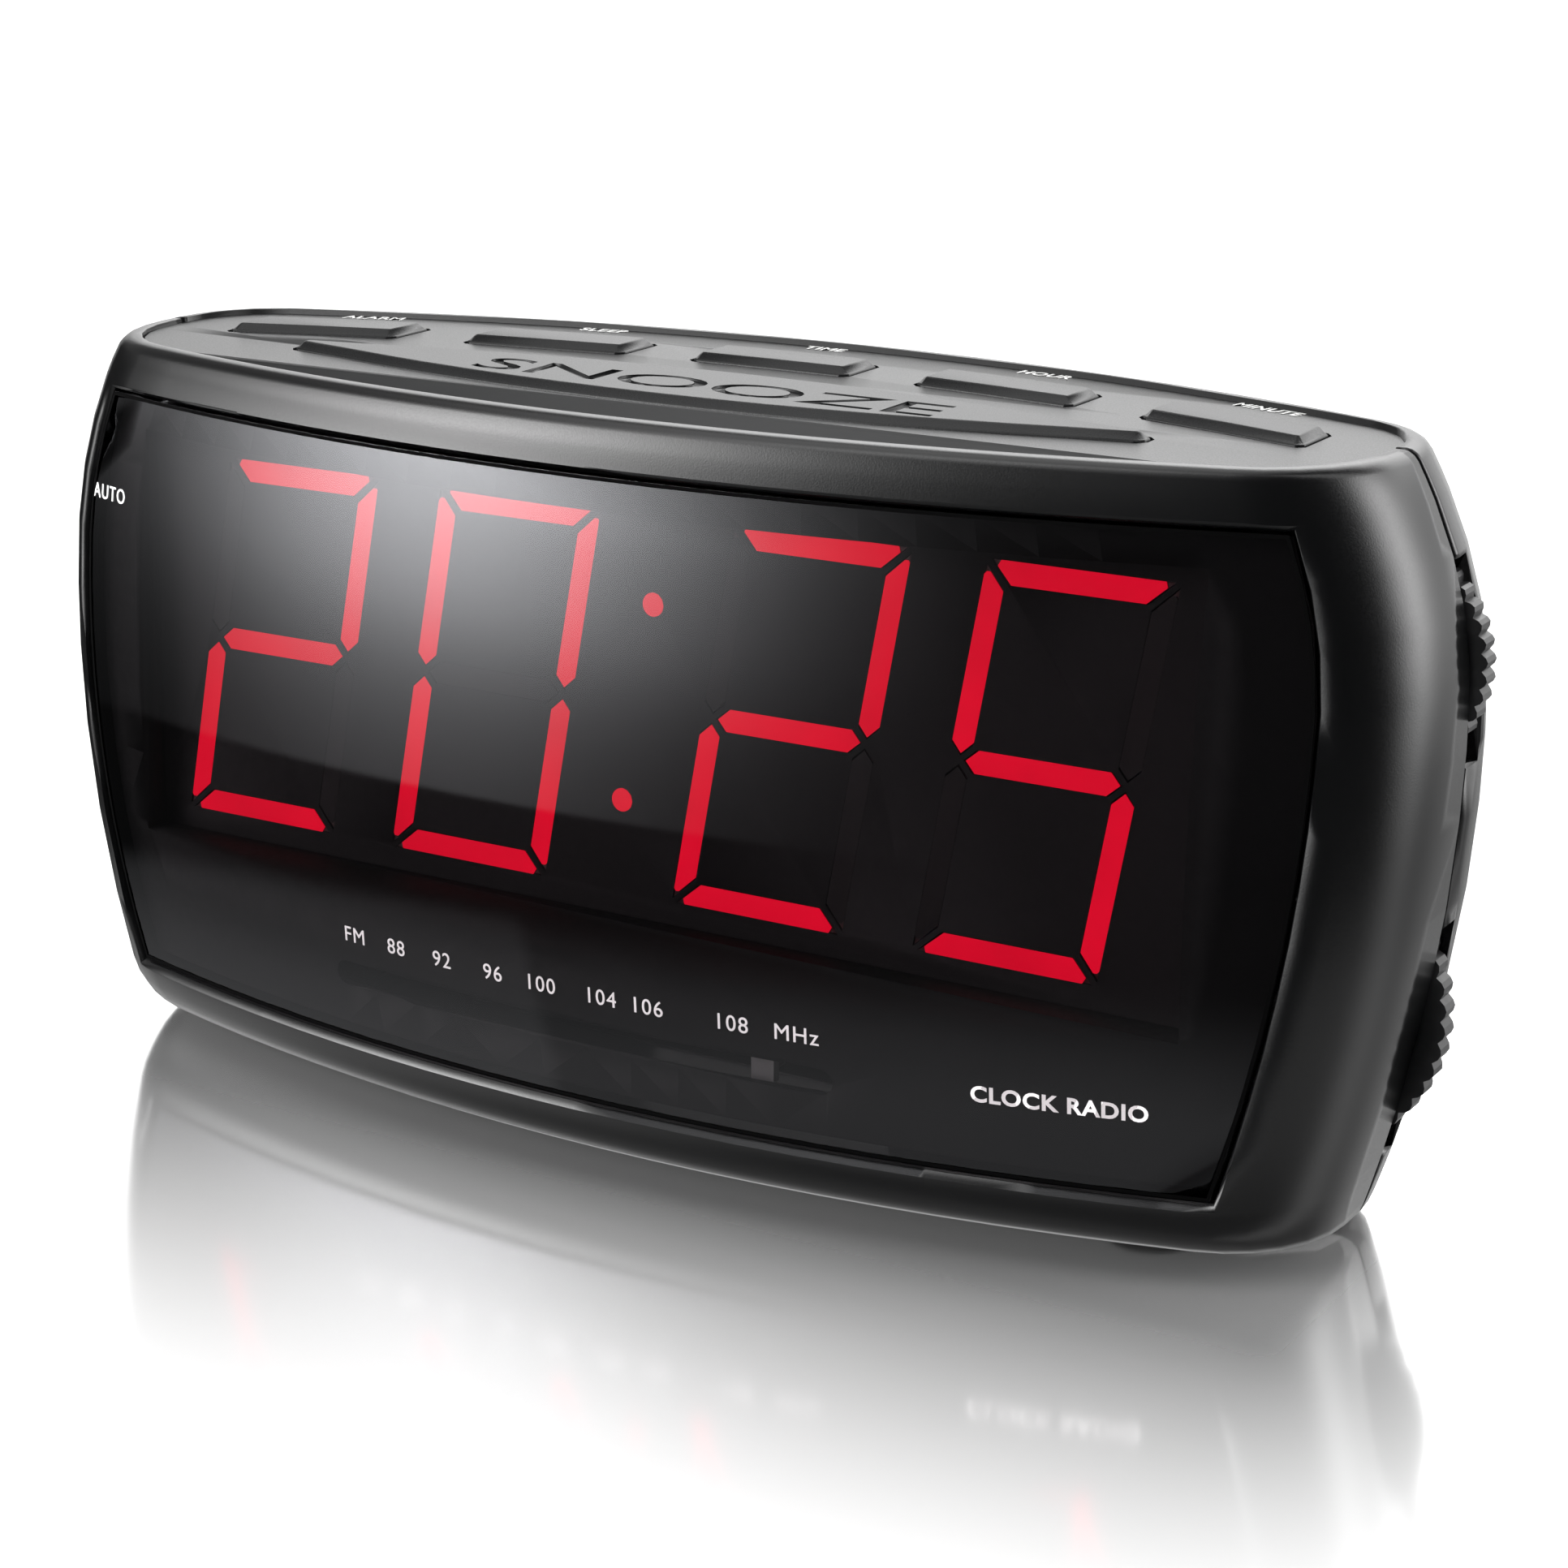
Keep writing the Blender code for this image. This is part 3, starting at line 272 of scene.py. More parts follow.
LOOKS = {
    "casing": finish("casing_satin_black", (0.0016, 0.0017, 0.0019), (0.0026, 0.0027, 0.0030),
                     rough=(0.19, 0.26), grain=FINE_GRAIN, bump=0.16, specular=0.55),
    "panel": finish("panel_dark_grey", (0.0085, 0.0088, 0.0092), (0.0120, 0.0124, 0.0130),
                    rough=(0.28, 0.38), grain=FINE_GRAIN, bump=0.35),
    "key": finish("key_dark_grey", (0.0055, 0.0057, 0.0060), (0.0080, 0.0083, 0.0087), rough=(0.26, 0.34),
                  grain=FINE_GRAIN, bump=0.3, specular=0.28),
    "lens": smoked(),
    "board": finish("board_green", (0.008, 0.045, 0.018), (0.012, 0.065, 0.028), rough=(0.35, 0.5),
                    patch=140.0),
    "white": finish("white_moulding", (0.55, 0.55, 0.52), (0.66, 0.66, 0.62), rough=(0.4, 0.5)),
    "red": finish("diffuser_red_dark", (0.030, 0.0015, 0.003), (0.040, 0.002, 0.004), rough=(0.3, 0.4)),
    "steel": finish("plated_steel", (0.42, 0.42, 0.43), (0.55, 0.55, 0.56), rough=(0.25, 0.4), metallic=1.0),
    "copper": finish("enamelled_copper", (0.30, 0.09, 0.03), (0.42, 0.14, 0.05), rough=(0.3, 0.45),
                     metallic=1.0, stretch=(1.0, 1.0, 30.0)),
    "rubber": finish("foot_rubber", (0.010, 0.010, 0.010), (0.018, 0.018, 0.018), rough=(0.75, 0.9),
                     bump=0.3),
    "paper": finish("dull_black", (0.012, 0.012, 0.013), (0.020, 0.020, 0.022), rough=(0.7, 0.85), bump=0.2),
    "hood": finish("hood_black", (0.0020, 0.0020, 0.0022), (0.0032, 0.0032, 0.0034), rough=(0.6, 0.7),
                   specular=0.2),
    "face": finish("display_face", (0.0050, 0.0038, 0.0042), (0.0070, 0.0052, 0.0058), rough=(0.6, 0.7),
                   specular=0.2),
    # Painted shade: near-black and barely glossy, for the strip round the window that stands in for its
    # shadow line.
    "painted_shade": finish("painted_shade_black", (0.0008, 0.0008, 0.0009), (0.0013, 0.0013, 0.0014), rough=(0.7, 0.8),
                     specular=0.05),
    "pointer": finish("pointer_grey", (0.16, 0.16, 0.16), (0.20, 0.20, 0.20), rough=(0.5, 0.6)),
    "wheel": finish("wheel_black", (0.012, 0.012, 0.0125), (0.018, 0.018, 0.019), rough=(0.32, 0.42),
                    bump=0.2),
    # Printed white ink that also gives off light: a painted glow that makes the legends brighter than the
    # lamps leave them.
    "ink_painted_glow": finish("legend_ink_painted_glow", (0.84, 0.84, 0.83), (0.92, 0.92, 0.91), rough=(0.5, 0.6), patch=300.0,
                  glow=((1.0, 1.0, 0.99), 0.72, 0.86)),
    "key_ink": finish("key_legend_ink", (0.55, 0.55, 0.54), (0.64, 0.64, 0.63), rough=(0.5, 0.6),
                      patch=300.0),
    "lit": finish("segment_lit", (0.10, 0.001, 0.003), (0.13, 0.0015, 0.004), rough=(0.5, 0.6), specular=0.1,
                  glow=((1.0, 0.0008, 0.030), 1.02, 1.22)),
    "unlit": finish("segment_unlit", (0.0075, 0.0050, 0.0055), (0.0095, 0.0062, 0.0068), rough=(0.5, 0.6),
                    specular=0.2),
}


# ---------------------------------------------------------------- building pieces

def put(name, bm, look, body):
    """Make a visible piece from a bmesh in millimetres of the working frame."""
    bmesh.ops.scale(bm, verts=bm.verts, vec=(MM, MM, MM))
    bmesh.ops.translate(bm, verts=bm.verts, vec=BASE)
    mesh = bpy.data.meshes.new(name)
    bm.to_mesh(mesh)
    bm.free()
    piece = bpy.data.objects.new(name, mesh)
    bpy.context.scene.collection.objects.link(piece)
    piece.data.materials.append(LOOKS[look])
    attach(piece, body)


def prism(points, low, high):
    """A thin plate between two depths from an outline (x, z), leaning back with the lens."""
    bm = bmesh.new()
    front, back = ([bm.verts.new((x, depth + LEAN * (z - DISPLAY_LEAN_Z), z)) for x, z in points]
                   for depth in (low, high))
    bm.faces.new(front)
    bm.faces.new(back[::-1])
    for i in range(len(points)):
        j = (i + 1) % len(points)
        bm.faces.new((front[j], front[i], back[i], back[j]))
    bmesh.ops.recalc_face_normals(bm, faces=bm.faces)
    return bm


def bow(x, radius):
    """How far a curve of that radius has bent away at x from its middle."""
    return radius - math.sqrt(radius * radius - x * x)


def as_shown(piece):
    """A new mesh of an object as its modifiers or its text leave it."""
    graph = bpy.context.evaluated_depsgraph_get()
    return bpy.data.meshes.new_from_object(piece.evaluated_get(graph))


def text_mesh(text, bold, thick, steps, size=1.0, spacing=1.0):
    """Text as a flat solid round the origin; bold widens the strokes and steps rounds the curves."""
    curve = bpy.data.curves.new("text", "FONT")
    curve.body = text
    curve.size = size
    curve.offset = bold
    curve.space_character = spacing
    curve.align_x = "CENTER"
    curve.align_y = "CENTER"
    curve.extrude = thick / 2
    curve.resolution_u = steps
    guide = bpy.data.objects.new("text", curve)
    bpy.context.scene.collection.objects.link(guide)
    mesh = as_shown(guide)
    bpy.data.objects.remove(guide, do_unlink=True)
    bpy.data.curves.remove(curve)
    return mesh


def legend(name, text, size, place, look, body, spacing=1.0, bold=0.0, wide=1.0):
    """Printed text as a thin solid; place maps flat text coordinates (u, v, w) in mm to the working frame."""
    mesh = text_mesh(text, bold, INK_THICK, steps=4, size=size, spacing=spacing)
    bm = bmesh.new()
    bm.from_mesh(mesh)
    bpy.data.meshes.remove(mesh)
    bmesh.ops.remove_doubles(bm, verts=bm.verts, dist=0.0005)
    for vert in bm.verts:
        u, v, w = vert.co
        vert.co = place(u * wide, v, w)
    bmesh.ops.recalc_face_normals(bm, faces=bm.faces)
    put(name, bm, look, body)


# ---------------------------------------------------------------- display digits

def bar_outlines(left):
    """Outlines (x, z) of a digit's seven blunt-ended bars, by name, for a digit whose corner is at left."""
    w, h, t = DIGIT_WIDTH, DIGIT_HEIGHT, BAR_WIDTH
    mid, g, tip, cut = DIGIT_HEIGHT / 2, BAR_GAP, BAR_TIP, BAR_CUT
    shapes = {
        "bottom": [(g + tip, 0), (w - g - tip, 0), (w - g - cut, cut), (w - g - t, t), (g + t, t),
                   (g + cut, cut)],
        "top": [(g + tip, h), (g + cut, h - cut), (g + t, h - t), (w - g - t, h - t),
                (w - g - cut, h - cut), (w - g - tip, h)],
        "middle": [(t / 2 + g, mid), (t + g, mid - t / 2), (w - t - g, mid - t / 2),
                   (w - t / 2 - g, mid), (w - t - g, mid + t / 2), (t + g, mid + t / 2)],
    }
    for name, low, high in (("lower", 0.0, mid), ("upper", h, mid)):
        side = 1 if high > low else -1
        shape = [(BAR_CORNER, low + side * (g + cut)), (cut, low + side * (g + cut)),
                 (t, low + side * (t + g)), (t, high - side * (t / 2 + g)), (t / 2, high - side * g),
                 (0, high - side * (t / 2 + g)), (0, low + side * (g + tip))]
        shapes[name + "_left"] = shape
        shapes[name + "_right"] = [(w - x, z) for x, z in shape]
    placed = {}
    for name, shape in shapes.items():
        middle = Vector((sum(p[0] for p in shape), sum(p[1] for p in shape))) / len(shape)
        points = []
        for x, z in shape:
            away = Vector((x, z)) - middle
            x, z = middle + away * (1 - BAR_SHRINK / max(away.length, 1.0))
            points.append((left + x + DIGIT_SLANT * z, DIGIT_LOW + z))
        placed[name] = points
    return placed


LIT = {
    "2": ("top", "upper_right", "middle", "lower_left", "bottom"),
    "0": ("top", "upper_right", "upper_left", "lower_left", "lower_right", "bottom"),
    "5": ("top", "upper_left", "middle", "lower_right", "bottom"),
}
digit_lefts = [DIGIT_LEFT, DIGIT_LEFT + DIGIT_PITCH, DIGIT_LEFT + DIGIT_PITCH + COLON_PITCH,
               DIGIT_LEFT + 2 * DIGIT_PITCH + COLON_PITCH]
for place, (left, figure) in enumerate(zip(digit_lefts, TIME_SHOWN), start=1):
    for bar, points in bar_outlines(left).items():
        look = "lit" if bar in LIT[figure] else "unlit"
        put(f"digit{place}_{bar}", prism(points, *BAR_DEPTHS), look, "radio")

gap = COLON_PITCH - DIGIT_WIDTH
turns = [math.radians(360 / DOT_CORNERS * k) for k in range(DOT_CORNERS)]
for name, part, shift in DOTS:
    z = DIGIT_LOW + DIGIT_HEIGHT * part + shift
    x = digit_lefts[1] + DIGIT_WIDTH + gap / 2 + DIGIT_SLANT * (z - DIGIT_LOW)
    dot = [(x + DOT_RADIUS * math.cos(a), z + DOT_RADIUS * math.sin(a)) for a in turns]
    put(f"colon_{name}", prism(dot, *BAR_DEPTHS), "lit", "radio")


# ---------------------------------------------------------------- painted shade round the window, and printed legends

def lens_face(x, z):
    """How far back the window's outer face is."""
    swell = LENS_BULGE * ((z - LENS_MIDDLE_Z) / ((LENS_HIGH - LENS_LOW) / 2)) ** 2
    return bow(x, LENS_RADIUS) + LEAN * (z - LENS_LOW) + LENS_SET + swell


def on_lens_back(x, z):
    """Just behind the window's inner face, where its legends are printed."""
    def place(u, v, w):
        across, height = x + u, z + v
        return (across, lens_face(across, height) + LENS_THICK + BEHIND_LENS - w, height)
    return place


def on_lens_front(x, z):
    """Just in front of the window's outer face."""
    def place(u, v, w):
        return (x + u, lens_face(x + u, z + v) - BEFORE_LENS - w, z + v)
    return place


def on_panel(x, y, turn):
    """Just above the top panel, turned by an angle in radians."""
    def place(u, v, w):
        c, s = math.cos(turn), math.sin(turn)
        return (x + c * u - s * v, y + s * u + c * v, PANEL_TOP + ABOVE_PANEL + w)
    return place


def lens_outline(inset, steps=16):
    """Points (x, z) round the window's edge, anticlockwise, smaller by inset."""
    def half(z):
        """Half the window's width at a height."""
        flare = LENS_FLARE_BELOW if z < LENS_WIDEST_Z else LENS_FLARE_ABOVE
        return LENS_HALF - inset - flare * (z - LENS_WIDEST_Z) ** 2
    low, high = LENS_LOW + inset, LENS_HIGH - inset
    heights = [low + (high - low) * k / steps for k in range(steps + 1)]
    points = [(half(low) * (2 * k / steps - 1), low) for k in range(steps)]
    points += [(half(z), z) for z in heights[:-1]]
    points += [(half(high) * (1 - 2 * k / steps), high) for k in range(steps)]
    return points + [(-half(z), z) for z in heights[:0:-1]]


def make_painted_shade_strip():
    """Thin black strip round the window's edge: painted shade for the shadow line there."""
    bm = bmesh.new()
    rings = []
    for inset, lift in ((SHADE_STRIP_OUTER, 0.0), (SHADE_STRIP_OUTER, SHADE_STRIP_PROUD), (SHADE_STRIP_INNER, SHADE_STRIP_PROUD),
                        (SHADE_STRIP_INNER, 0.0)):
        rings.append([bm.verts.new((x, lens_face(x, z) - lift, z)) for x, z in lens_outline(inset)])
    for first, second in zip(rings, rings[1:] + rings[:1]):
        for i in range(len(first)):
            j = (i + 1) % len(first)
            bm.faces.new((first[i], first[j], second[j], second[i]))
    bmesh.ops.recalc_face_normals(bm, faces=bm.faces)
    put("window_painted_shade_strip", bm, "painted_shade", "radio")


make_painted_shade_strip()
# The scale and front legends use the white ink with the painted glow.
for text, x in SCALE:
    legend(f"scale_{text}", text, SCALE_SIZE, on_lens_back(x, SCALE_Z), "ink_painted_glow", "radio", spacing=1.12)
legend("legend_auto", "AUTO", LEGEND_SIZE, on_lens_front(*AUTO_AT), "ink_painted_glow", "radio", wide=0.9, spacing=1.16)
legend("legend_front", "CLOCK RADIO", LEGEND_SIZE, on_lens_back(*FRONT_NAME_AT), "ink_painted_glow", "radio", bold=0.07,
       wide=1.05, spacing=1.08)
for place, text in enumerate(KEY_NAMES, start=-2):
    x = place * BUTTON_PITCH + KEY_NAME_SHIFT
    y = KEY_NAME_Y - bow(x, BACK_RADIUS)
    legend(f"legend_{text.lower()}", text, KEY_NAME_SIZE, on_panel(x, y, -x / BACK_RADIUS), "key_ink",
           "radio", bold=0.05, spacing=1.05)


# ---------------------------------------------------------------- CAD nodes: finishes and softened edges

LOOK_OF = {m["node"]: m["material_slot"] for m in frame["record"]["subparts"]}
SPECIAL = {"display_hood": "hood", "led_housing": "face", "dial_pointer": "pointer", "tuning_wheel": "wheel",
           "volume_wheel": "wheel", "snooze_bar": "key"}
# Inside the casing: these keep the CAD's own mesh.
HIDDEN_INSIDE = ("display_board", "clock_chip", "key_board", "radio_board", "tuner_chip", "transformer_core",
                 "transformer_winding", "battery_tray", "battery_snap", "tuning_capacitor",
                 "function_switch", "led_diffuser", "alarm_switch", "sleep_switch", "time_switch",
                 "hour_switch", "minute_switch", "snooze_switch", "filter_capacitor", "volume_control",
                 "pulley_pin")
# How far a node's edges are rounded, in mm.
SOFTENED = {"snooze_bar": SNOOZE_ROUND, "function_knob": KNOB_ROUND}
for name in ("alarm", "sleep", "time", "hour", "minute"):
    SOFTENED[name + "_button"] = KEY_ROUND
    SPECIAL[name + "_button"] = "key"
# Edges that fold by more than this, in degrees, are shown sharp. The front casing's corners are shallower.
FOLD = 35.0
FRONT_FOLD = 27.0


def even_normals(mesh, direction, within):
    """Give the faces along a known surface that surface's normals, so cut-outs don't disturb the shading."""
    normals = [corner.vector.copy() for corner in mesh.corner_normals]
    for face in mesh.polygons:
        for loop in face.loop_indices:
            spot = (mesh.vertices[mesh.loops[loop].vertex_index].co - BASE) / MM
            along = direction(spot)
            if within(spot) and face.normal.dot(along) > SAME_SURFACE:
                normals[loop] = along
    mesh.normals_split_custom_set(normals)


def on_back(spot):
    """Whether a point is on the part of the back that has no corners."""
    return abs(spot.x) < BACK_HALF and BACK_SPAN[0] < spot.z < BACK_SPAN[1]


def back_normal(spot):
    """The direction that the bowed back faces at a point."""
    lean = 2 * BACK_BOW * (spot.z - BACK_Z) / (HEIGHT - BACK_Z) ** 2
    return Vector((spot.x / math.sqrt(BACK_RADIUS ** 2 - spot.x ** 2), 1.0, lean)).normalized()


def mark_lip(bm):
    """Weight the sharp edges round the front casing's rim, so that only they are rounded."""
    weight = bm.edges.layers.float.new("bevel_weight_edge")
    lip = HEIGHT * MM + BASE.z
    for edge in bm.edges:
        level = all(abs(v.co.z - lip) < LIP_LEVEL * MM for v in edge.verts)
        if level and edge.is_manifold and edge.calc_face_angle() > math.radians(LIP_CORNER):
            edge[weight] = 1.0


def dress(node, look, width, angle):
    """Give a CAD node its finish; unless it is hidden, show a copy with its edges rounded by width in mm."""
    source = frame["nodes"][node]
    if node in HIDDEN_INSIDE:
        source.data.materials.clear()
        source.data.materials.append(LOOKS[look])
        return source
    mesh = source.data.copy()
    bm = bmesh.new()
    bm.from_mesh(mesh)
    bmesh.ops.remove_doubles(bm, verts=bm.verts, dist=1e-6)
    if width:
        bmesh.ops.dissolve_limit(bm, angle_limit=math.radians(0.5), verts=bm.verts, edges=bm.edges)
    if node == "front_casing":
        mark_lip(bm)
    bm.to_mesh(mesh)
    bm.free()
    mesh.materials.clear()
    mesh.materials.append(LOOKS[look])
    piece = bpy.data.objects.new("soft_" + node, mesh)
    bpy.context.scene.collection.objects.link(piece)
    mesh.shade_smooth()
    if node == "front_casing":
        mesh.set_sharp_from_angle(angle=math.radians(angle))
        bevel = piece.modifiers.new("lip", "BEVEL")
        bevel.width = LIP_ROUND * MM
        bevel.segments = 3
        bevel.limit_method = "WEIGHT"
    elif width:
        bevel = piece.modifiers.new("edges", "BEVEL")
        bevel.width = width * MM
        bevel.segments = 2
        bevel.limit_method = "ANGLE"
        bevel.angle_limit = math.radians(angle)
        bevel.harden_normals = True
    else:
        mesh.set_sharp_from_angle(angle=math.radians(angle))
    if node == "rear_casing":
        even_normals(mesh, back_normal, on_back)
    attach(piece, source["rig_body"])
    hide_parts(node)
    return piece


def engrave(piece, word, centre, size, top, depth):
    """Cut a word into a piece's flat top; centre, size, top and depth are in mm of the working frame."""
    clear = 1.0
    mesh = text_mesh(word, bold=0.005, thick=2.0, steps=5)
    spans = [(min(ends), max(ends)) for ends in zip(*(v.co.xy for v in mesh.vertices))]
    for vert in mesh.vertices:
        across, deep = (middle + length * ((value - low) / (high - low) - 0.5)
                        for middle, length, value, (low, high) in zip(centre, size, vert.co, spans))
        vert.co = Vector((across, deep, top - depth if vert.co.z < 0 else top + clear)) * MM + BASE
    bm = bmesh.new()
    bm.from_mesh(mesh)
    bmesh.ops.remove_doubles(bm, verts=bm.verts, dist=1e-7)
    bmesh.ops.recalc_face_normals(bm, faces=bm.faces)
    bm.to_mesh(mesh)
    bm.free()
    cutter = bpy.data.objects.new("engraving", mesh)
    bpy.context.scene.collection.objects.link(cutter)
    cut = piece.modifiers.new("word", "BOOLEAN")
    cut.operation = "DIFFERENCE"
    cut.solver = "EXACT"
    cut.object = cutter
    carved = as_shown(piece)
    piece.modifiers.clear()
    piece.data = carved
    carved.set_sharp_from_angle(angle=math.radians(FOLD))
    even_normals(carved, lambda spot: Vector((0.0, 0.0, 1.0)), lambda spot: spot.z > top - 0.1)
    bpy.data.objects.remove(cutter, do_unlink=True)


for node in frame["nodes"]:
    fold = FRONT_FOLD if node == "front_casing" else FOLD
    piece = dress(node, SPECIAL.get(node, LOOK_OF[node]), SOFTENED.get(node, 0.0), fold)
    if node == "snooze_bar":
        engrave(piece, "SNOOZE", SNOOZE_WORD, SNOOZE_WORD_SIZE, CAP_TOP, SNOOZE_WORD_DEPTH)


# ---------------------------------------------------------------- studio

# Strengths of the parts of the studio that the radio mirrors. In what follows azimuth is in degrees from the
# front towards the right, and elevation in degrees above the floor.
AMBIENT = 0.035
SOFTBOX = 5.3
# Below this elevation the softbox fades exponentially, by this much per degree.
SOFTBOX_KNEE = 4.0
SOFTBOX_FADE = 0.165
SIDE_LAMP = 10.0
CEILING_LEFT = 1.6
FRONT_WALL = 0.20


def ramp(tree, value, start, end, low=0.0, high=1.0):
    """Ease smoothly from low to high while value goes from start to end."""
    made = tree.nodes.new("ShaderNodeMapRange")
    made.interpolation_type = "SMOOTHSTEP"
    for name, number in (("From Min", start), ("From Max", end), ("To Min", low), ("To Max", high)):
        made.inputs[name].default_value = number
    tree.links.new(value, made.inputs["Value"])
    return made.outputs["Result"]


def make_floor():
    """Pale sheet, glossy near the radio; reflections in the radio look past it to the studio below."""
    bm = bmesh.new()
    bmesh.ops.create_grid(bm, x_segments=2, y_segments=2, size=FLOOR_REACH)
    mesh = bpy.data.meshes.new("floor")
    bm.to_mesh(mesh)
    bm.free()
    floor = bpy.data.objects.new("floor", mesh)
    bpy.context.scene.collection.objects.link(floor)
    look, tree = nodes_of("floor_pale")
    output = tree.nodes.new("ShaderNodeOutputMaterial")
    _, tone = mottled(tree, 2.0, 0.88, 0.90)
    matt = tree.nodes.new("ShaderNodeBsdfDiffuse")
    tree.links.new(tone.outputs["Result"], matt.inputs["Color"])
    shine = tree.nodes.new("ShaderNodeBsdfGlossy")
    shine.inputs["Roughness"].default_value = FLOOR_ROUGH
    split = tree.nodes.new("ShaderNodeSeparateXYZ")
    tree.links.new(tree.nodes.new("ShaderNodeTexCoord").outputs["Object"], split.inputs["Vector"])
    squares = []
    for axis, half in zip("XY", FOOTPRINT):
        past = calc(tree, "SUBTRACT", calc(tree, "ABSOLUTE", split.outputs[axis]), half)
        past = calc(tree, "MAXIMUM", past)
        squares.append(calc(tree, "MULTIPLY", past, past))
    away = calc(tree, "SQRT", calc(tree, "ADD", *squares))
    surface = tree.nodes.new("ShaderNodeMixShader")
    share = calc(tree, "SUBTRACT", FLOOR_SHINE, calc(tree, "MULTIPLY", away, FLOOR_SHINE / FLOOR_FADE))
    tree.links.new(calc(tree, "MAXIMUM", share, 0.0), surface.inputs["Fac"])
    tree.links.new(matt.outputs["BSDF"], surface.inputs[1])
    tree.links.new(shine.outputs["BSDF"], surface.inputs[2])
    path = tree.nodes.new("ShaderNodeLightPath")
    clear = tree.nodes.new("ShaderNodeBsdfTransparent")
    choose = tree.nodes.new("ShaderNodeMixShader")
    tree.links.new(path.outputs["Is Glossy Ray"], choose.inputs["Fac"])
    tree.links.new(surface.outputs["Shader"], choose.inputs[1])
    tree.links.new(clear.outputs["BSDF"], choose.inputs[2])
    tree.links.new(choose.outputs["Shader"], output.inputs["Surface"])
    floor.data.materials.append(look)


def area(name, place, target, size, power):
    """A rectangular lamp that lights matt surfaces but is not mirrored in glossy ones."""
    data = bpy.data.lights.new(name, "AREA")
    data.shape = "RECTANGLE"
    data.size, data.size_y = size
    data.energy = power
    light = bpy.data.objects.new(name, data)
    bpy.context.scene.collection.objects.link(light)
    light.location = place
    light.rotation_euler = (Vector(target) - Vector(place)).to_track_quat("-Z", "Y").to_euler()
    light.visible_glossy = False


def hill(tree, value, centre, width):
    """A bell curve: 1 where value is at the centre, 0.37 at one width from it."""
    off = calc(tree, "DIVIDE", calc(tree, "SUBTRACT", value, centre), width)
    return calc(tree, "DIVIDE", 1.0, calc(tree, "EXPONENT", calc(tree, "MULTIPLY", off, off)))


def product(tree, *factors):
    """All the factors multiplied."""
    result = factors[0]
    for factor in factors[1:]:
        result = calc(tree, "MULTIPLY", result, factor)
    return result


def make_softbox(tree, azimuth, elevation):
    """Tall soft lamp in front on the left: cut off at its foot, and fading towards its foot and its top."""
    below_knee = calc(tree, "MINIMUM", calc(tree, "SUBTRACT", elevation, SOFTBOX_KNEE), 0.0)
    fade = calc(tree, "EXPONENT", calc(tree, "MULTIPLY", below_knee, SOFTBOX_FADE))
    glow = calc(tree, "ADD", hill(tree, elevation, centre=-2.5, width=4.0), 2.9)
    dip = calc(tree, "MULTIPLY", hill(tree, elevation, centre=10.0, width=4.0), 0.55)
    return product(tree, hill(tree, azimuth, centre=-45.0, width=17.0), fade,
                   ramp(tree, elevation, start=-13.3, end=-12.8), glow, calc(tree, "SUBTRACT", 1.0, dip),
                   ramp(tree, elevation, start=18.0, end=52.0, low=1.0, high=0.14), SOFTBOX)


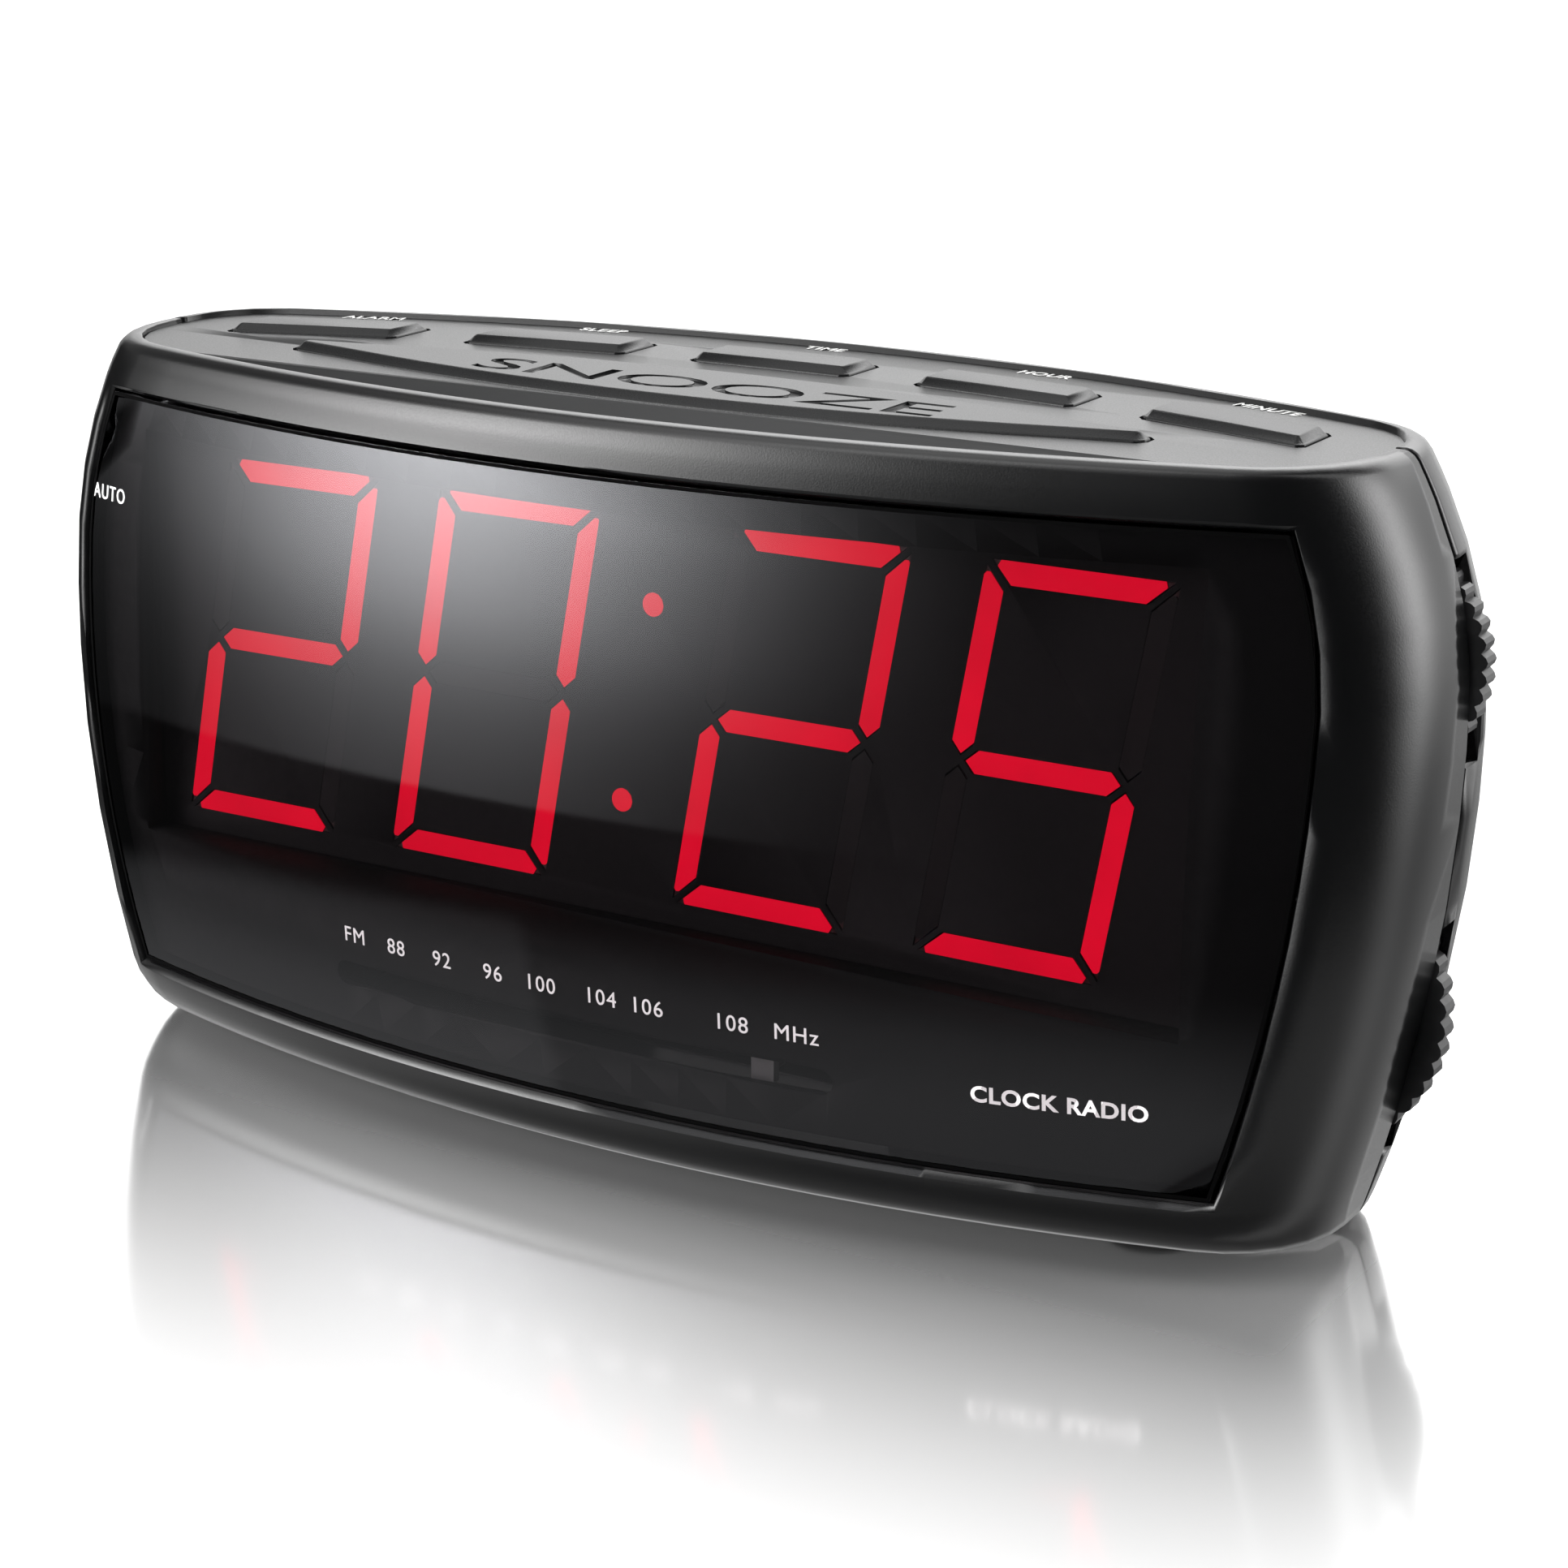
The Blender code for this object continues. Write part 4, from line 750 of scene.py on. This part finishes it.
def make_world():
    """White to the camera; to everything else a dim studio with a lamp on either side, bright behind."""
    world = bpy.data.worlds.new("studio")
    bpy.context.scene.world = world
    world.use_nodes = True
    tree = world.node_tree
    tree.nodes.clear()
    facing = tree.nodes.new("ShaderNodeTexCoord").outputs["Generated"]
    split = tree.nodes.new("ShaderNodeSeparateXYZ")
    tree.links.new(facing, split.inputs["Vector"])
    x, y, z = (split.outputs[axis] for axis in "XYZ")
    to_degrees = 180 / math.pi
    elevation = calc(tree, "MULTIPLY", calc(tree, "ARCSINE", z), to_degrees)
    azimuth = calc(tree, "MULTIPLY", calc(tree, "ARCTAN2", x, calc(tree, "MULTIPLY", y, -1.0)), to_degrees)
    side_lamp = product(tree, hill(tree, azimuth, centre=115.0, width=15.0),
                        ramp(tree, elevation, start=-25.0, end=12.0, low=0.07, high=1.0),
                        ramp(tree, elevation, start=28.0, end=50.0, low=1.0, high=0.25), SIDE_LAMP)
    behind = product(tree, ramp(tree, y, start=0.50, end=0.80),
                     ramp(tree, elevation, start=-32.0, end=2.0, low=0.05, high=1.7),
                     ramp(tree, elevation, start=8.0, end=36.0, low=1.0, high=3.0))
    ceiling_left = product(tree, ramp(tree, elevation, start=40.0, end=62.0),
                           ramp(tree, x, start=0.10, end=-0.35), CEILING_LEFT)
    front_wall = product(tree, ramp(tree, elevation, start=4.0, end=20.0),
                         ramp(tree, x, start=0.35, end=-0.05), FRONT_WALL)
    table = product(tree, ramp(tree, elevation, start=-19.0, end=-29.0),
                    ramp(tree, elevation, start=-33.0, end=-52.0, low=0.58, high=0.16))
    table_left = product(tree, ramp(tree, elevation, start=-19.5, end=-30.0, low=0.18, high=0.30),
                         ramp(tree, azimuth, start=-38.5, end=-40.5),
                         ramp(tree, elevation, start=-19.0, end=-20.5),
                         ramp(tree, elevation, start=-40.0, end=-60.0, low=1.0, high=0.2))
    total = AMBIENT
    for part in (make_softbox(tree, azimuth, elevation), side_lamp, behind, ceiling_left, front_wall, table,
                 table_left):
        total = calc(tree, "ADD", total, part)
    path = tree.nodes.new("ShaderNodeLightPath")
    mix = tree.nodes.new("ShaderNodeMix")
    mix.data_type = "FLOAT"
    tree.links.new(path.outputs["Is Camera Ray"], mix.inputs["Factor"])
    tree.links.new(total, mix.inputs["A"])
    mix.inputs["B"].default_value = 1.0
    background = tree.nodes.new("ShaderNodeBackground")
    tree.links.new(mix.outputs["Result"], background.inputs["Strength"])
    output = tree.nodes.new("ShaderNodeOutputWorld")
    tree.links.new(background.outputs["Background"], output.inputs["Surface"])


make_floor()
make_world()
area("overhead", place=(0.0, 0.0, 1.2), target=(0.0, 0.0, 0.0), size=(1.2, 1.2), power=7.0)
area("front_fill", place=(0.3, -1.0, 0.4), target=(0.0, 0.0, 0.04), size=(0.6, 0.6), power=1.5)


# ---------------------------------------------------------------- the photo's view

# Camera: place in mm of the working frame, angles in degrees, sensor and focal length in mm.
CAMERA_AT = Vector((215.614, -301.259, 159.138))
AZIMUTH, ELEVATION, ROLL = (math.radians(a) for a in (31.7918, 17.2072, -0.4062))
SENSOR = 36.0
LENS_LENGTH = 78.975

back = Vector((math.sin(AZIMUTH) * math.cos(ELEVATION), -math.cos(AZIMUTH) * math.cos(ELEVATION),
               math.sin(ELEVATION)))
across = Vector((math.cos(AZIMUTH), math.sin(AZIMUTH), 0.0))
up = back.cross(across)
rolled_across = math.cos(ROLL) * across + math.sin(ROLL) * up
rolled_up = math.cos(ROLL) * up - math.sin(ROLL) * across
view = bpy.data.cameras.new("photo_view")
camera = bpy.data.objects.new("photo_view", view)
bpy.context.scene.collection.objects.link(camera)
turn = Matrix((rolled_across, rolled_up, back)).transposed().to_4x4()
camera.matrix_world = Matrix.Translation(CAMERA_AT * MM + BASE) @ turn
view.sensor_width = SENSOR
view.lens = LENS_LENGTH
view.clip_start = 0.01
bpy.context.scene.camera = camera
bpy.context.scene.view_settings.view_transform = "Standard"
